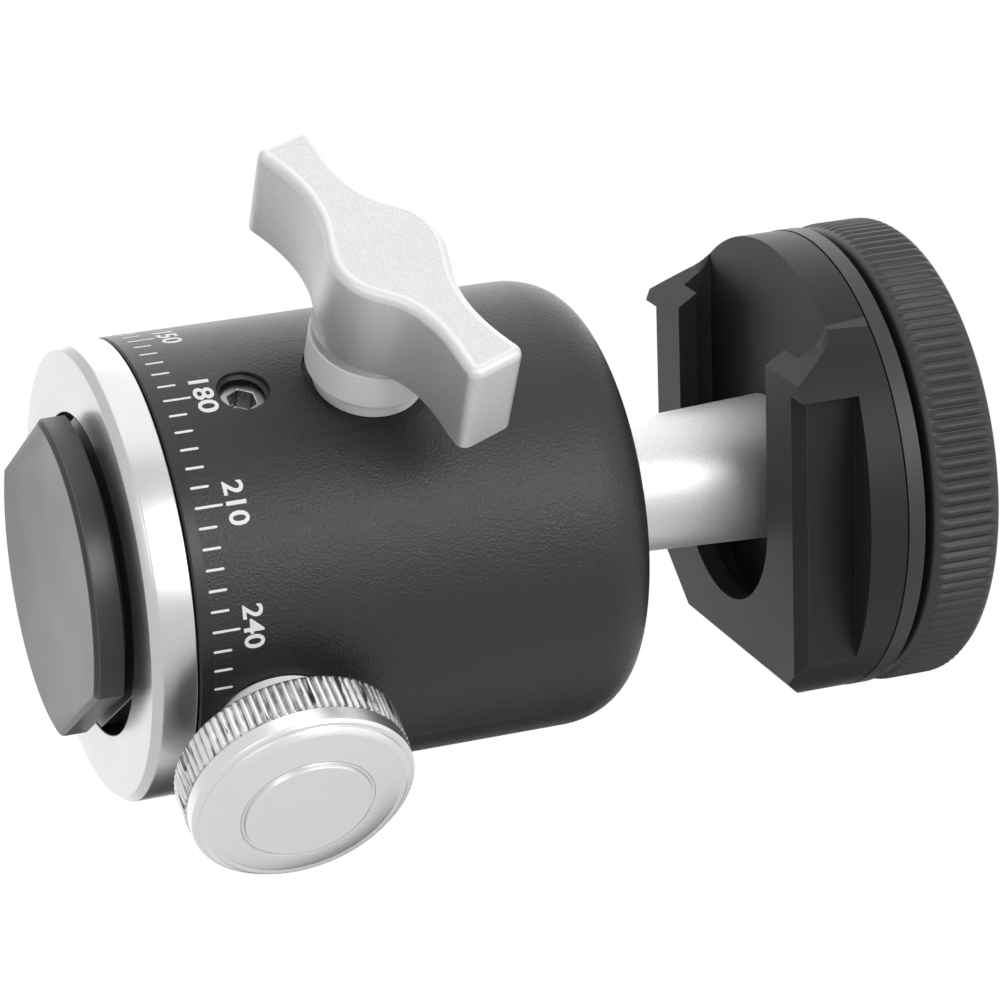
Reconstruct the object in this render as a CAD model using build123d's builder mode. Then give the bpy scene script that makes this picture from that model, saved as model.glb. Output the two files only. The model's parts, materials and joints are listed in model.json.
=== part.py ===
"""Tripod ball head with a panning base, a ball lock lever, a pan lock knob and a screw platform.

Millimetres. +Z runs from the foot to the camera screw. The origin is the centre of the foot's
lower face. The lock lever points to -Y, the pan lock knob to +X and the drop notch to -X.
"""

import os
from math import atan2, cos, degrees, radians, sin, sqrt

from build123d import *

# ---- clearances -------------------------------------------------------------
FIT = 0.05  # a shaft in its hole, or two faces that touch across a joint
SEAT = 0.02  # two fixed pieces that sit on each other

# ---- foot -------------------------------------------------------------------
FOOT_R = 13.2
FOOT_FLATS = 22.2  # across the two flats
FOOT_PLATE = 2.3
NECK_R = 10.4
NECK_FLATS = 17.0
NECK_TOP = 3.2  # just inside the ring, where the flange fills the recess
FLANGE_R = 12.6
FLANGE_TOP = 5.0
FOOT_TURN = 30.0  # azimuth of the flats' normal
FOOT_EDGE = 0.35

# ---- base ring and its hub --------------------------------------------------
BODY_R = 18.0
RING_BOTTOM = 3.15
RING_TOP = 6.6
RING_CHAMFER_R = BODY_R - 0.5
RING_CHAMFER_Z = 3.8
RECESS_R = FLANGE_R + 2 * FIT
HUB_R = 10.5
HUB_TOP = 16.2
GROOVE_R = HUB_R - 1.3
GROOVE_LOW = 10.9
GROOVE_HIGH = 15.2
SLIP_IN_R = HUB_R + 0.7
SLIP_OUT_R = BODY_R - 1.6
SLIP_T = 0.66
RING_GAP = 0.12  # between the ring and the turning housing
EDGE_BREAK = 0.15

# ---- foot bolt and dowels ---------------------------------------------------
BOLT_R = 2.5
BOLT_END = 0.9
BOLT_HEAD_R = 4.4
BOLT_HEAD_LOW = 12.0
BOLT_HEAD_TOP = 16.0
HEX_AF = 4.0  # across the flats of the bolt's socket
HEX_DEPTH = 2.2
DOWEL_R = 0.8
DOWEL_AT = 8.0
DOWEL_LOW = 4.1
DOWEL_HIGH = 6.2

# ---- housing ----------------------------------------------------------------
HOUSING_TOP = 44.0
CORNER_RADIAL = 3.0
CORNER_AXIAL = 4.6
BORE_R = BODY_R - 5.0
RACE_SEAT_Z = 33.0
BALL_Z = 30.5
BALL_R = BORE_R - 0.8
NOTCH_HALF = 6.0  # drop notch, half width
NOTCH_Z = 28.8  # centre of the notch's round bottom

# ---- race, cup and spring around the ball -----------------------------------
RACE_R = BORE_R + 1.4
RACE_TOP = HOUSING_TOP - 0.7
RACE_MOUTH_R = RACE_R - 0.65
RACE_EDGE_Z = BALL_Z + BALL_R / 2  # where the spherical seat ends
CUP_R = BORE_R - 0.1
CUP_LOW = BALL_Z - BALL_R - 0.3
CUP_HIGH = CUP_LOW + 2.7
CUP_HOLE_R = 5.0
SPRING_IN_R = 5.5
SPRING_OUT_R = BORE_R - 0.6
SPRING_T = 0.6
SPRING_LOW = 16.42
SPRING_RISE = 0.9

# ---- retaining screw in the housing's wall ----------------------------------
GRUB_Z = 14.1
GRUB_R = 2.0
GRUB_OUT = BODY_R - 1.1  # outer end, measured from the axis
GRUB_SHOULDER = HUB_R + 0.7
GRUB_TIP = GROOVE_R + 0.3
GRUB_TIP_R = 0.9
GRUB_HEX_AF = 2.0
GRUB_HEX_DEPTH = 1.8

# ---- ball lock: lever, screw, washer and pad --------------------------------
LEVER_Z = 24.1
SPOT_R = 5.15
SPOT_AT = BODY_R - 0.7  # flat seat milled into the round wall
LEVER_BUSH_R = 4.2
LEVER_BUSH_IN = BORE_R + 0.3
LEVER_SCREW_R = 2.95
LEVER_SCREW_IN = BORE_R + 0.5
LEVER_SCREW_OUT = BODY_R + 8.0
LEVER_WASHER_R = 5.03
LEVER_WASHER_SEAT_R = 4.3  # of its inner end, which stands in the flat seat
LEVER_WASHER_IN = BODY_R + 0.85  # where the wide part starts
LEVER_WASHER_OUT = BODY_R + 4.05
INSERT_R = 3.7
INSERT_IN = LEVER_WASHER_OUT + FIT
BOSS_IN = LEVER_WASHER_OUT + FIT
BOSS_R = LEVER_WASHER_R - 0.1
WING_IN = BODY_R + 5.0
WING_OUT = WING_IN + 7.85
WING_BEVEL = 0.7
PAD_R = 2.9

# one long side of the lever's outline, as (along X, above its axis); the other is its half turn
WING_SIDE = [
    (14.2, 1.95),
    (12.6, 1.55),
    (10.0, 1.15),
    (7.5, 0.3),
    (5.6, -1.1),
    (4.3, -3.0),
    (2.2, -4.4),
    (-0.4, -4.6),
    (-3.4, -4.1),
    (-6.4, -4.2),
    (-9.4, -5.15),
    (-12.3, -6.75),
]
WING_ROUND = 0.8  # corner radius at the wing's ends

# ---- pan lock: knob, screw, washer and pad ----------------------------------
KNOB_Z = 12.85
KNOB_R = 8.9
KNOB_BACK = BODY_R + 2.8
KNURL_FRONT = KNOB_BACK + 3.35
KNOB_LIP_R = 8.75
KNOB_RIM_R = 8.2
KNOB_RIM = KNOB_BACK + 5.2
KNOB_DISC_R = 5.03
KNOB_DISC = KNOB_RIM + 0.7
KNOB_DISC_RISE = 0.12
KNOB_NECK_R = 4.6
KNOB_NECK_IN = SPOT_AT + 1.45
KNOB_SCREW_R = 2.45
KNOB_SCREW_IN = HUB_R + 2.2
KNOB_SCREW_OUT = KNOB_BACK + 3.2
KNOB_BUSH_R = 3.3
KNOB_BUSH_IN = HUB_R + 0.6
KNOB_WASHER_R = 4.9
PAN_PAD_R = 2.4
PAN_PAD_TIP_R = 1.8
PAN_PAD_SHOULDER = HUB_R + 0.9

# ---- stem -------------------------------------------------------------------
STEM_R_LOW = 5.07  # at STEM_LOW
STEM_LOW = 42.0
STEM_R_HIGH = 5.93
SPIGOT_R = 4.0
SPIGOT_TOP = 62.6
STUD_BORE_LOW = 49.5

# ---- coupler block ----------------------------------------------------------
DISC_R = 18.85
BLOCK_LOW = 57.0
BLOCK_TOP = 64.5
LIP_TOP = 58.65
SLOT_FLOOR = 61.05
SLOT_TURN = 62.0  # azimuth of the slot's closed end
SLOT_HALF = 8.7
SLOT_END = 2.0  # centre of the slot's round end, along the slot
UNDERCUT_HALF = 11.35
FLANK_HALF = 14.5  # wall of the pocket milled into each flank
FLANK_BEVEL_IN = 1.0
FLANK_BEVEL_UP = 0.9
FLANK_FROM = -10.4  # pocket's end on the open side, along the slot
FLANK_HIGH = 62.0  # pocket's roof at its wall
FLANK_FALL = 0.15  # how far the roof comes down for each mm outward
OPEN_END = 11.6  # lower face's end on the open side
OPEN_SLOPE = 0.65  # how far the open end runs out for each mm upward
OPEN_ROUND = 2.2  # hollow curve between the open end and the slot's floor
CLOSED_END = 14.3
CLOSED_SLOPE = 1.0
CORNER_TURN = 38.0  # azimuth of the closed end's cut corner, from the slot's
CORNER_END = 16.1

# ---- platform, stud and its screws ------------------------------------------
PLATE_R = 18.9
PLATE_LOW = 64.62
PLATE_TOP = 66.0
STUD_R = 3.175  # quarter-inch camera screw
STUD_TOP = 77.4
STUD_TIP = 0.5
STUD_FREE_FROM = 73.0  # where the free end starts, above the wheel
STUD_NECK_R = 2.95  # inside the wheel's bush
STUD_SHANK_R = 2.5
FLANGE_STUD_R = 6.0
FLANGE_STUD_LOW = 62.85
SCREW_COUNT = 3
SCREW_RING_R = 12.0
PLATE_SCREW_R = 1.2
PLATE_SCREW_HEAD_R = 2.2
PLATE_SCREW_LOW = 62.0
PLATE_SCREW_TOP = 65.95

# ---- lock wheel -------------------------------------------------------------
WHEEL_R = 19.0
WHEEL_LOW = 66.8
WHEEL_TOP = 72.8
WHEEL_ROUND = 0.9
WHEEL_BUSH_R = 5.0
WHEEL_BUSH_LOW = 67.1
WHEEL_BUSH_TOP = 72.5
PAD_IN_R = 7.5
PAD_OUT_R = 16.5
PAD_DEPTH = 0.9
WASHER_IN_R = 3.6
WASHER_OUT_R = 9.0
WASHER_LOW = 66.15
WASHER_TOP = 66.95

os.makedirs("parts", exist_ok=True)

# planes through the Z axis whose normals run out along the lever, the grub and the knob
LEVER_OUT = Plane(origin=(0, 0, LEVER_Z), x_dir=(1, 0, 0), z_dir=(0, -1, 0))
GRUB_LINE = Plane(origin=(0, 0, GRUB_Z), x_dir=(1, 0, 0), z_dir=(0, -1, 0))
KNOB_OUT = Plane(origin=(0, 0, KNOB_Z), x_dir=(0, 1, 0), z_dir=(1, 0, 0))


def save(made, name):
    """Label a finished piece and write its STEP file."""
    made.part.label = name
    export_step(made.part, f"parts/{name}.step")


def half_chord(radius, across):
    """Distance from the centre to a chord of a circle that lies `across` from the axis."""
    return sqrt(radius**2 - across**2)


def double_d(radius, flats):
    """A round outline with two parallel flats, drawn in the sketch that is open."""
    Circle(radius)
    Rectangle(flats, 2 * radius + 1, mode=Mode.INTERSECT)


# =============================== base ========================================
with BuildPart() as shoe_foot:
    with BuildSketch(Plane.XY.rotated((0, 0, FOOT_TURN))):
        double_d(FOOT_R, FOOT_FLATS)
    extrude(amount=FOOT_PLATE)
    chamfer(shoe_foot.faces().sort_by(Axis.Z)[0].edges(), FOOT_EDGE)
    with BuildSketch(Plane.XY.offset(FOOT_PLATE).rotated((0, 0, FOOT_TURN))):
        double_d(NECK_R, NECK_FLATS)
    extrude(amount=NECK_TOP - FOOT_PLATE)
    with BuildSketch(Plane.XY.offset(NECK_TOP).rotated((0, 0, FOOT_TURN))):
        double_d(FLANGE_R, FOOT_FLATS)
    extrude(amount=FLANGE_TOP - NECK_TOP)
    with BuildSketch(Plane.XY.offset(FLANGE_TOP)):
        Circle(BOLT_R + FIT)
    extrude(amount=-(FLANGE_TOP - BOLT_END + FIT), mode=Mode.SUBTRACT)
    with BuildSketch(Plane.XY.offset(FLANGE_TOP)):
        with Locations((DOWEL_AT, 0), (-DOWEL_AT, 0)):
            Circle(DOWEL_R + SEAT)
    extrude(amount=-(FLANGE_TOP - DOWEL_LOW + SEAT), mode=Mode.SUBTRACT)
save(shoe_foot, "shoe_foot")

with BuildPart() as base_ring:
    recess_top = FLANGE_TOP + SEAT
    slip_low = RING_TOP - SLIP_T / 2 + RING_GAP / 2 - FIT / 2
    with BuildSketch(Plane.XZ):
        Polygon(
            (BOLT_R + 4 * FIT, recess_top),
            (RECESS_R, recess_top),
            (RECESS_R, RING_BOTTOM),
            (RING_CHAMFER_R, RING_BOTTOM),
            (BODY_R, RING_CHAMFER_Z),
            (BODY_R, RING_TOP - EDGE_BREAK),
            (BODY_R - EDGE_BREAK, RING_TOP),
            (SLIP_OUT_R + FIT, RING_TOP),
            (SLIP_OUT_R + FIT, slip_low),
            (HUB_R, slip_low),
            (HUB_R, GROOVE_LOW),
            (GROOVE_R, GROOVE_LOW),
            (GROOVE_R, GROOVE_HIGH),
            (HUB_R, GROOVE_HIGH),
            (HUB_R, HUB_TOP - 2 * EDGE_BREAK),
            (HUB_R - 2 * EDGE_BREAK, HUB_TOP),
            (BOLT_HEAD_R + 4 * FIT, HUB_TOP),
            (BOLT_HEAD_R + 4 * FIT, BOLT_HEAD_LOW),
            (BOLT_R + 4 * FIT, BOLT_HEAD_LOW),
            align=None,
        )
    revolve(axis=Axis.Z)
    with BuildSketch(Plane.XY.offset(recess_top)):
        with Locations((DOWEL_AT, 0), (-DOWEL_AT, 0)):
            Circle(DOWEL_R + SEAT)
    extrude(amount=DOWEL_HIGH - recess_top + SEAT, mode=Mode.SUBTRACT)
save(base_ring, "base_ring")

with BuildPart() as foot_bolt:
    with BuildSketch(Plane.XY.offset(BOLT_END)):
        Circle(BOLT_R)
    extrude(amount=BOLT_HEAD_LOW - BOLT_END + SEAT)
    with BuildSketch(Plane.XY.offset(BOLT_HEAD_LOW + SEAT)):
        Circle(BOLT_HEAD_R)
    extrude(amount=BOLT_HEAD_TOP - BOLT_HEAD_LOW - SEAT)
    with BuildSketch(Plane.XY.offset(BOLT_HEAD_TOP)):
        RegularPolygon(HEX_AF / 2, 6, major_radius=False)
    extrude(amount=-HEX_DEPTH, mode=Mode.SUBTRACT)
save(foot_bolt, "foot_bolt")

with BuildPart() as foot_dowels:
    with BuildSketch(Plane.XY.offset(DOWEL_LOW)):
        with Locations((DOWEL_AT, 0), (-DOWEL_AT, 0)):
            Circle(DOWEL_R)
    extrude(amount=DOWEL_HIGH - DOWEL_LOW)
save(foot_dowels, "foot_dowels")

with BuildPart() as slip_washer:
    with BuildSketch(Plane.XY.offset(slip_low + FIT / 2)):
        Circle(SLIP_OUT_R)
        Circle(SLIP_IN_R, mode=Mode.SUBTRACT)
    extrude(amount=SLIP_T)
save(slip_washer, "slip_washer")

# =============================== housing =====================================
housing_low = RING_TOP + RING_GAP
slip_high = slip_low + SLIP_T + FIT

with BuildPart() as housing:
    with BuildSketch(Plane.XZ):
        with BuildLine():
            corner = EllipticalCenterArc(
                (BODY_R - CORNER_RADIAL, HOUSING_TOP - CORNER_AXIAL),
                CORNER_RADIAL,
                CORNER_AXIAL,
                start_angle=0,
                arc_size=90,
            )
            Polyline(
                corner @ 1,
                (RACE_R + FIT, HOUSING_TOP),
                (RACE_R + FIT, RACE_SEAT_Z),
                (BORE_R, RACE_SEAT_Z),
                (BORE_R, HUB_TOP + 4 * FIT),
                (HUB_R + FIT, HUB_TOP + 4 * FIT),
                (HUB_R + FIT, slip_high),
                (SLIP_OUT_R + FIT, slip_high),
                (SLIP_OUT_R + FIT, housing_low),
                (BODY_R - EDGE_BREAK, housing_low),
                (BODY_R, housing_low + EDGE_BREAK),
                corner @ 0,
            )
        make_face()
    revolve(axis=Axis.Z)
    # drop notch for the stem, open at the top
    notch_high = HOUSING_TOP + 1
    with BuildSketch(Plane.YZ):
        with Locations((0, NOTCH_Z)):
            Circle(NOTCH_HALF)
        with Locations((0, (NOTCH_Z + notch_high) / 2)):
            Rectangle(2 * NOTCH_HALF, notch_high - NOTCH_Z)
    extrude(amount=-(BODY_R + 1), mode=Mode.SUBTRACT)
    # lever's flat seat and bush hole
    with BuildSketch(LEVER_OUT.offset(SPOT_AT)):
        Circle(SPOT_R)
    extrude(amount=BODY_R - SPOT_AT + 1, mode=Mode.SUBTRACT)
    with BuildSketch(LEVER_OUT.offset(BORE_R - 1)):
        Circle(LEVER_BUSH_R + SEAT)
    extrude(amount=SPOT_AT - BORE_R + 1, mode=Mode.SUBTRACT)
    # retaining screw's hole
    with BuildSketch(GRUB_LINE.offset(HUB_R - 1)):
        Circle(GRUB_R + FIT)
    extrude(amount=BODY_R - HUB_R + 2, mode=Mode.SUBTRACT)
    # knob's flat seat and bush hole
    with BuildSketch(KNOB_OUT.offset(SPOT_AT)):
        Circle(SPOT_R)
    extrude(amount=BODY_R - SPOT_AT + 1, mode=Mode.SUBTRACT)
    with BuildSketch(KNOB_OUT.offset(HUB_R - 1)):
        Circle(KNOB_BUSH_R + SEAT)
    extrude(amount=SPOT_AT - HUB_R + 1, mode=Mode.SUBTRACT)
save(housing, "housing")

with BuildPart() as upper_race:
    seat_r = BALL_R + FIT
    foot_z = RACE_SEAT_Z + SEAT
    seat_low = atan2(foot_z - BALL_Z, half_chord(seat_r, foot_z - BALL_Z))
    seat_high = atan2(RACE_EDGE_Z - BALL_Z, half_chord(seat_r, RACE_EDGE_Z - BALL_Z))
    with BuildSketch(Plane.XZ):
        with BuildLine():
            seat = CenterArc(
                (0, BALL_Z), seat_r, degrees(seat_low), degrees(seat_high - seat_low)
            )
            Polyline(
                seat @ 1,
                (RACE_MOUTH_R, RACE_TOP),
                (RACE_R, RACE_TOP),
                (RACE_R, foot_z),
                seat @ 0,
            )
        make_face()
    revolve(axis=Axis.Z)
    with BuildSketch(Plane.YZ):
        with Locations((0, NOTCH_Z)):
            Circle(NOTCH_HALF)
        with Locations((0, (NOTCH_Z + notch_high) / 2)):
            Rectangle(2 * NOTCH_HALF, notch_high - NOTCH_Z)
    extrude(amount=-(BODY_R + 1), mode=Mode.SUBTRACT)
save(upper_race, "upper_race")

with BuildPart() as ball_cup:
    with BuildSketch(Plane.XY.offset(CUP_LOW)):
        Circle(CUP_R)
        Circle(CUP_HOLE_R, mode=Mode.SUBTRACT)
    extrude(amount=CUP_HIGH - CUP_LOW)
    with Locations((0, 0, BALL_Z)):
        Sphere(BALL_R + FIT, mode=Mode.SUBTRACT)
save(ball_cup, "ball_cup")

with BuildPart() as cup_spring:
    with BuildSketch(Plane.XZ):
        Polygon(
            (SPRING_OUT_R, SPRING_LOW),
            (SPRING_OUT_R, SPRING_LOW + SPRING_T),
            (SPRING_IN_R, SPRING_LOW + SPRING_RISE + SPRING_T),
            (SPRING_IN_R, SPRING_LOW + SPRING_RISE),
            align=None,
        )
    revolve(axis=Axis.Z)
save(cup_spring, "cup_spring")

with BuildPart() as retaining_grub:
    with BuildSketch(GRUB_LINE.offset(GRUB_TIP)):
        Circle(GRUB_TIP_R)
    extrude(amount=GRUB_SHOULDER - GRUB_TIP)
    with BuildSketch(GRUB_LINE.offset(GRUB_SHOULDER)):
        Circle(GRUB_R)
    extrude(amount=GRUB_OUT - GRUB_SHOULDER)
    with BuildSketch(GRUB_LINE.offset(GRUB_OUT)):
        RegularPolygon(GRUB_HEX_AF / 2, 6, major_radius=False)
    extrude(amount=-GRUB_HEX_DEPTH, mode=Mode.SUBTRACT)
save(retaining_grub, "retaining_grub")

with BuildPart() as lever_bush:
    with BuildSketch(LEVER_OUT.offset(LEVER_BUSH_IN)):
        Circle(LEVER_BUSH_R)
        Circle(LEVER_SCREW_R + FIT, mode=Mode.SUBTRACT)
    extrude(amount=SPOT_AT - SEAT - LEVER_BUSH_IN)
save(lever_bush, "lever_bush")

with BuildPart() as knob_bush:
    with BuildSketch(KNOB_OUT.offset(KNOB_BUSH_IN)):
        Circle(KNOB_BUSH_R)
        Circle(KNOB_SCREW_R + FIT, mode=Mode.SUBTRACT)
    extrude(amount=SPOT_AT - SEAT - KNOB_BUSH_IN)
save(knob_bush, "knob_bush")

# =============================== ball lock ===================================
with BuildPart() as lock_lever:
    with BuildSketch(LEVER_OUT.offset(WING_IN)):
        with BuildLine():
            other_side = [(-along, -above) for along, above in WING_SIDE]
            Spline(*WING_SIDE)
            Line(WING_SIDE[-1], other_side[0])
            Spline(*other_side)
            Line(other_side[-1], WING_SIDE[0])
        make_face()
    extrude(amount=WING_OUT - WING_IN)
    tips = lock_lever.edges().filter_by(Axis.Y).sort_by(Axis.X)
    fillet([*tips[:2], *tips[-2:]], WING_ROUND)
    chamfer(lock_lever.faces().sort_by(Axis.Y)[0].edges(), WING_BEVEL)
    with BuildSketch(LEVER_OUT.offset(BOSS_IN)):
        Circle(BOSS_R)
    extrude(amount=WING_IN - BOSS_IN)
    with BuildSketch(LEVER_OUT.offset(BOSS_IN)):
        Circle(INSERT_R + SEAT)
    extrude(amount=LEVER_SCREW_OUT + SEAT - BOSS_IN, mode=Mode.SUBTRACT)
save(lock_lever, "lock_lever")

with BuildPart() as lever_insert:
    with BuildSketch(LEVER_OUT.offset(INSERT_IN)):
        Circle(INSERT_R)
        Circle(LEVER_SCREW_R + SEAT, mode=Mode.SUBTRACT)
    extrude(amount=LEVER_SCREW_OUT - INSERT_IN)
save(lever_insert, "lever_insert")

with BuildPart() as lever_screw:
    with BuildSketch(LEVER_OUT.offset(LEVER_SCREW_IN)):
        Circle(LEVER_SCREW_R)
    extrude(amount=LEVER_SCREW_OUT - LEVER_SCREW_IN)
save(lever_screw, "lever_screw")

with BuildPart() as lever_washer:
    with BuildSketch(LEVER_OUT.offset(SPOT_AT + FIT)):
        Circle(LEVER_WASHER_SEAT_R)
    extrude(amount=LEVER_WASHER_IN - SPOT_AT - FIT)
    with BuildSketch(LEVER_OUT.offset(LEVER_WASHER_IN)):
        Circle(LEVER_WASHER_R)
    extrude(amount=LEVER_WASHER_OUT - LEVER_WASHER_IN)
    rims = lever_washer.edges().filter_by(GeomType.CIRCLE).group_by(SortBy.RADIUS)[-1]
    fillet(rims.sort_by(Axis.Y)[-1], 2 * EDGE_BREAK)
    with BuildSketch(LEVER_OUT.offset(SPOT_AT)):
        Circle(LEVER_SCREW_R + 3 * FIT)
    extrude(amount=LEVER_WASHER_OUT - SPOT_AT + FIT, mode=Mode.SUBTRACT)
save(lever_washer, "lever_washer")

with BuildPart() as clamp_pad:
    pad_in = half_chord(BALL_R, LEVER_Z - PAD_R - BALL_Z)
    with BuildSketch(LEVER_OUT.offset(pad_in)):
        Circle(PAD_R)
    extrude(amount=LEVER_SCREW_IN - FIT - pad_in)
    with Locations((0, 0, BALL_Z)):
        Sphere(BALL_R + FIT, mode=Mode.SUBTRACT)
save(clamp_pad, "clamp_pad")

# =============================== pan lock ====================================
with BuildPart() as pan_knob:
    with BuildSketch(Plane.XZ):
        with Locations((0, KNOB_Z)):
            Polygon(
                (KNOB_SCREW_OUT, 0),
                (KNOB_DISC, 0),
                (KNOB_DISC, KNOB_DISC_R),
                (KNOB_DISC - KNOB_DISC_RISE, KNOB_DISC_R),
                (KNOB_RIM, KNOB_RIM_R),
                (KNOB_RIM - 0.6, KNOB_LIP_R - 0.05),
                (KNURL_FRONT + 0.3, KNOB_LIP_R),
                (KNURL_FRONT, KNOB_R),
                (KNOB_BACK + 0.4, KNOB_R),
                (KNOB_BACK, KNOB_R - 0.4),
                (KNOB_BACK, KNOB_NECK_R),
                (KNOB_NECK_IN, KNOB_NECK_R),
                (KNOB_NECK_IN, KNOB_SCREW_R + SEAT),
                (KNOB_SCREW_OUT, KNOB_SCREW_R + SEAT),
                align=None,
            )
    revolve(axis=Axis((0, 0, KNOB_Z), (1, 0, 0)))
save(pan_knob, "pan_knob")

with BuildPart() as pan_screw:
    with BuildSketch(KNOB_OUT.offset(KNOB_SCREW_IN)):
        Circle(KNOB_SCREW_R)
    extrude(amount=KNOB_SCREW_OUT - SEAT - KNOB_SCREW_IN)
save(pan_screw, "pan_screw")

with BuildPart() as pan_washer:
    with BuildSketch(KNOB_OUT.offset(SPOT_AT + FIT)):
        Circle(KNOB_WASHER_R)
        Circle(KNOB_SCREW_R + 3 * FIT, mode=Mode.SUBTRACT)
    extrude(amount=KNOB_NECK_IN - SPOT_AT - 2 * FIT)
save(pan_washer, "pan_washer")

with BuildPart() as pan_pad:
    with BuildSketch(KNOB_OUT.offset(GROOVE_R - 1)):
        Circle(PAN_PAD_TIP_R)
    extrude(amount=PAN_PAD_SHOULDER - GROOVE_R + 1)
    with BuildSketch(KNOB_OUT.offset(PAN_PAD_SHOULDER)):
        Circle(PAN_PAD_R)
    extrude(amount=KNOB_SCREW_IN - FIT - PAN_PAD_SHOULDER)
    with Locations((0, 0, KNOB_Z)):
        Cylinder(GROOVE_R + FIT, 4 * PAN_PAD_R, mode=Mode.SUBTRACT)
save(pan_pad, "pan_pad")

# =============================== ball and stem ===============================
with BuildPart() as ball:
    with Locations((0, 0, BALL_Z)):
        Sphere(BALL_R)
save(ball, "ball")

with BuildPart() as stem:
    stem_floor = SLOT_FLOOR - FIT
    with BuildSketch(Plane.XZ):
        Polygon(
            (0, BALL_Z + BALL_R - 3),
            (STEM_R_LOW, BALL_Z + BALL_R - 3),
            (STEM_R_LOW, STEM_LOW),
            (STEM_R_HIGH, stem_floor),
            (SPIGOT_R, stem_floor),
            (SPIGOT_R, SPIGOT_TOP),
            (STUD_SHANK_R + FIT, SPIGOT_TOP),
            (STUD_SHANK_R + FIT, STUD_BORE_LOW),
            (0, STUD_BORE_LOW),
            align=None,
        )
    revolve(axis=Axis.Z)
    with Locations((0, 0, BALL_Z)):
        Sphere(BALL_R + FIT, mode=Mode.SUBTRACT)
save(stem, "stem")

# =============================== coupler and platform ========================
with BuildPart() as coupler_block:
    with BuildSketch(Plane.XY.offset(BLOCK_LOW)):
        Circle(DISC_R)
    extrude(amount=BLOCK_TOP - BLOCK_LOW)
    # pocket in each flank, with a bevel under its wall and a roof that falls towards the rim
    beyond = 2 * DISC_R
    roof = FLANK_HIGH - BLOCK_LOW
    for side in (1, -1):
        with BuildSketch(Plane.YZ.rotated((0, 0, SLOT_TURN)).offset(FLANK_FROM)):
            with Locations((0, BLOCK_LOW)):
                Polygon(
                    (side * (FLANK_HALF - 2 * FLANK_BEVEL_IN), -FLANK_BEVEL_UP),
                    (side * FLANK_HALF, FLANK_BEVEL_UP),
                    (side * FLANK_HALF, roof),
                    (side * beyond, roof - FLANK_FALL * (beyond - FLANK_HALF)),
                    (side * beyond, -FLANK_BEVEL_UP),
                    align=None,
                )
        extrude(amount=DISC_R - FLANK_FROM, mode=Mode.SUBTRACT)
    # open end, sloping out and curving into the slot's floor
    rise = SLOT_FLOOR - BLOCK_LOW
    with BuildSketch(Plane.XZ.rotated((0, 0, SLOT_TURN))):
        with BuildLine():
            low = (-OPEN_END + OPEN_SLOPE, BLOCK_LOW - 1)
            inner = (-OPEN_END - OPEN_SLOPE * rise, SLOT_FLOOR)
            outer = (-beyond, SLOT_FLOOR)
            FilletPolyline(low, inner, outer, radius=OPEN_ROUND)
            Polyline(outer, (-beyond, BLOCK_LOW - 1), low)
        make_face()
    extrude(amount=beyond, both=True, mode=Mode.SUBTRACT)
    # closed end and its cut corner
    for turn, reach in ((0, CLOSED_END), (CORNER_TURN, CORNER_END)):
        with BuildSketch(Plane.XZ.rotated((0, 0, SLOT_TURN + turn))):
            with Locations((0, BLOCK_LOW)):
                Polygon(
                    (reach - CLOSED_SLOPE, -1),
                    (reach + CLOSED_SLOPE * roof, roof),
                    (beyond, roof),
                    (beyond, -1),
                    align=None,
                )
        extrude(amount=beyond, both=True, mode=Mode.SUBTRACT)
    # slot between the lips, then the undercut behind them
    for half, low, high in (
        (SLOT_HALF, BLOCK_LOW, SLOT_FLOOR),
        (UNDERCUT_HALF, LIP_TOP, SLOT_FLOOR),
    ):
        with BuildSketch(Plane.XY.offset(low).rotated((0, 0, SLOT_TURN))):
            with Locations((SLOT_END, 0)):
                Circle(half)
            with Locations((SLOT_END - DISC_R, 0)):
                Rectangle(2 * DISC_R, 2 * half)
        extrude(amount=high - low, mode=Mode.SUBTRACT)
    # hole for the stem's spigot, seat for the stud's flange, holes for the plate's screws
    with BuildSketch(Plane.XY.offset(SLOT_FLOOR)):
        Circle(SPIGOT_R + FIT)
    extrude(amount=BLOCK_TOP - SLOT_FLOOR, mode=Mode.SUBTRACT)
    with BuildSketch(Plane.XY.offset(FLANGE_STUD_LOW - SEAT)):
        Circle(FLANGE_STUD_R + SEAT)
    extrude(amount=BLOCK_TOP - FLANGE_STUD_LOW + SEAT, mode=Mode.SUBTRACT)
    with BuildSketch(Plane.XY.offset(BLOCK_TOP)):
        with PolarLocations(SCREW_RING_R, SCREW_COUNT):
            Circle(PLATE_SCREW_R + SEAT)
    extrude(amount=-(BLOCK_TOP - PLATE_SCREW_LOW + SEAT), mode=Mode.SUBTRACT)
save(coupler_block, "coupler_block")

with BuildPart() as camera_stud:
    with BuildSketch(Plane.XY.offset(STUD_BORE_LOW + 4 * FIT)):
        Circle(STUD_SHANK_R)
    extrude(amount=FLANGE_STUD_LOW - STUD_BORE_LOW - 4 * FIT)
    with BuildSketch(Plane.XY.offset(FLANGE_STUD_LOW)):
        Circle(FLANGE_STUD_R)
    extrude(amount=BLOCK_TOP - FLANGE_STUD_LOW)
    with BuildSketch(Plane.XY.offset(BLOCK_TOP)):
        Circle(STUD_NECK_R)
    extrude(amount=STUD_FREE_FROM - BLOCK_TOP)
    with BuildSketch(Plane.XY.offset(STUD_FREE_FROM)):
        Circle(STUD_R)
    extrude(amount=STUD_TOP - STUD_FREE_FROM)
    chamfer(camera_stud.faces().sort_by(Axis.Z)[-1].edges(), STUD_TIP)
save(camera_stud, "camera_stud")

screw_head_low = PLATE_SCREW_TOP - (PLATE_SCREW_HEAD_R - PLATE_SCREW_R)

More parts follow.
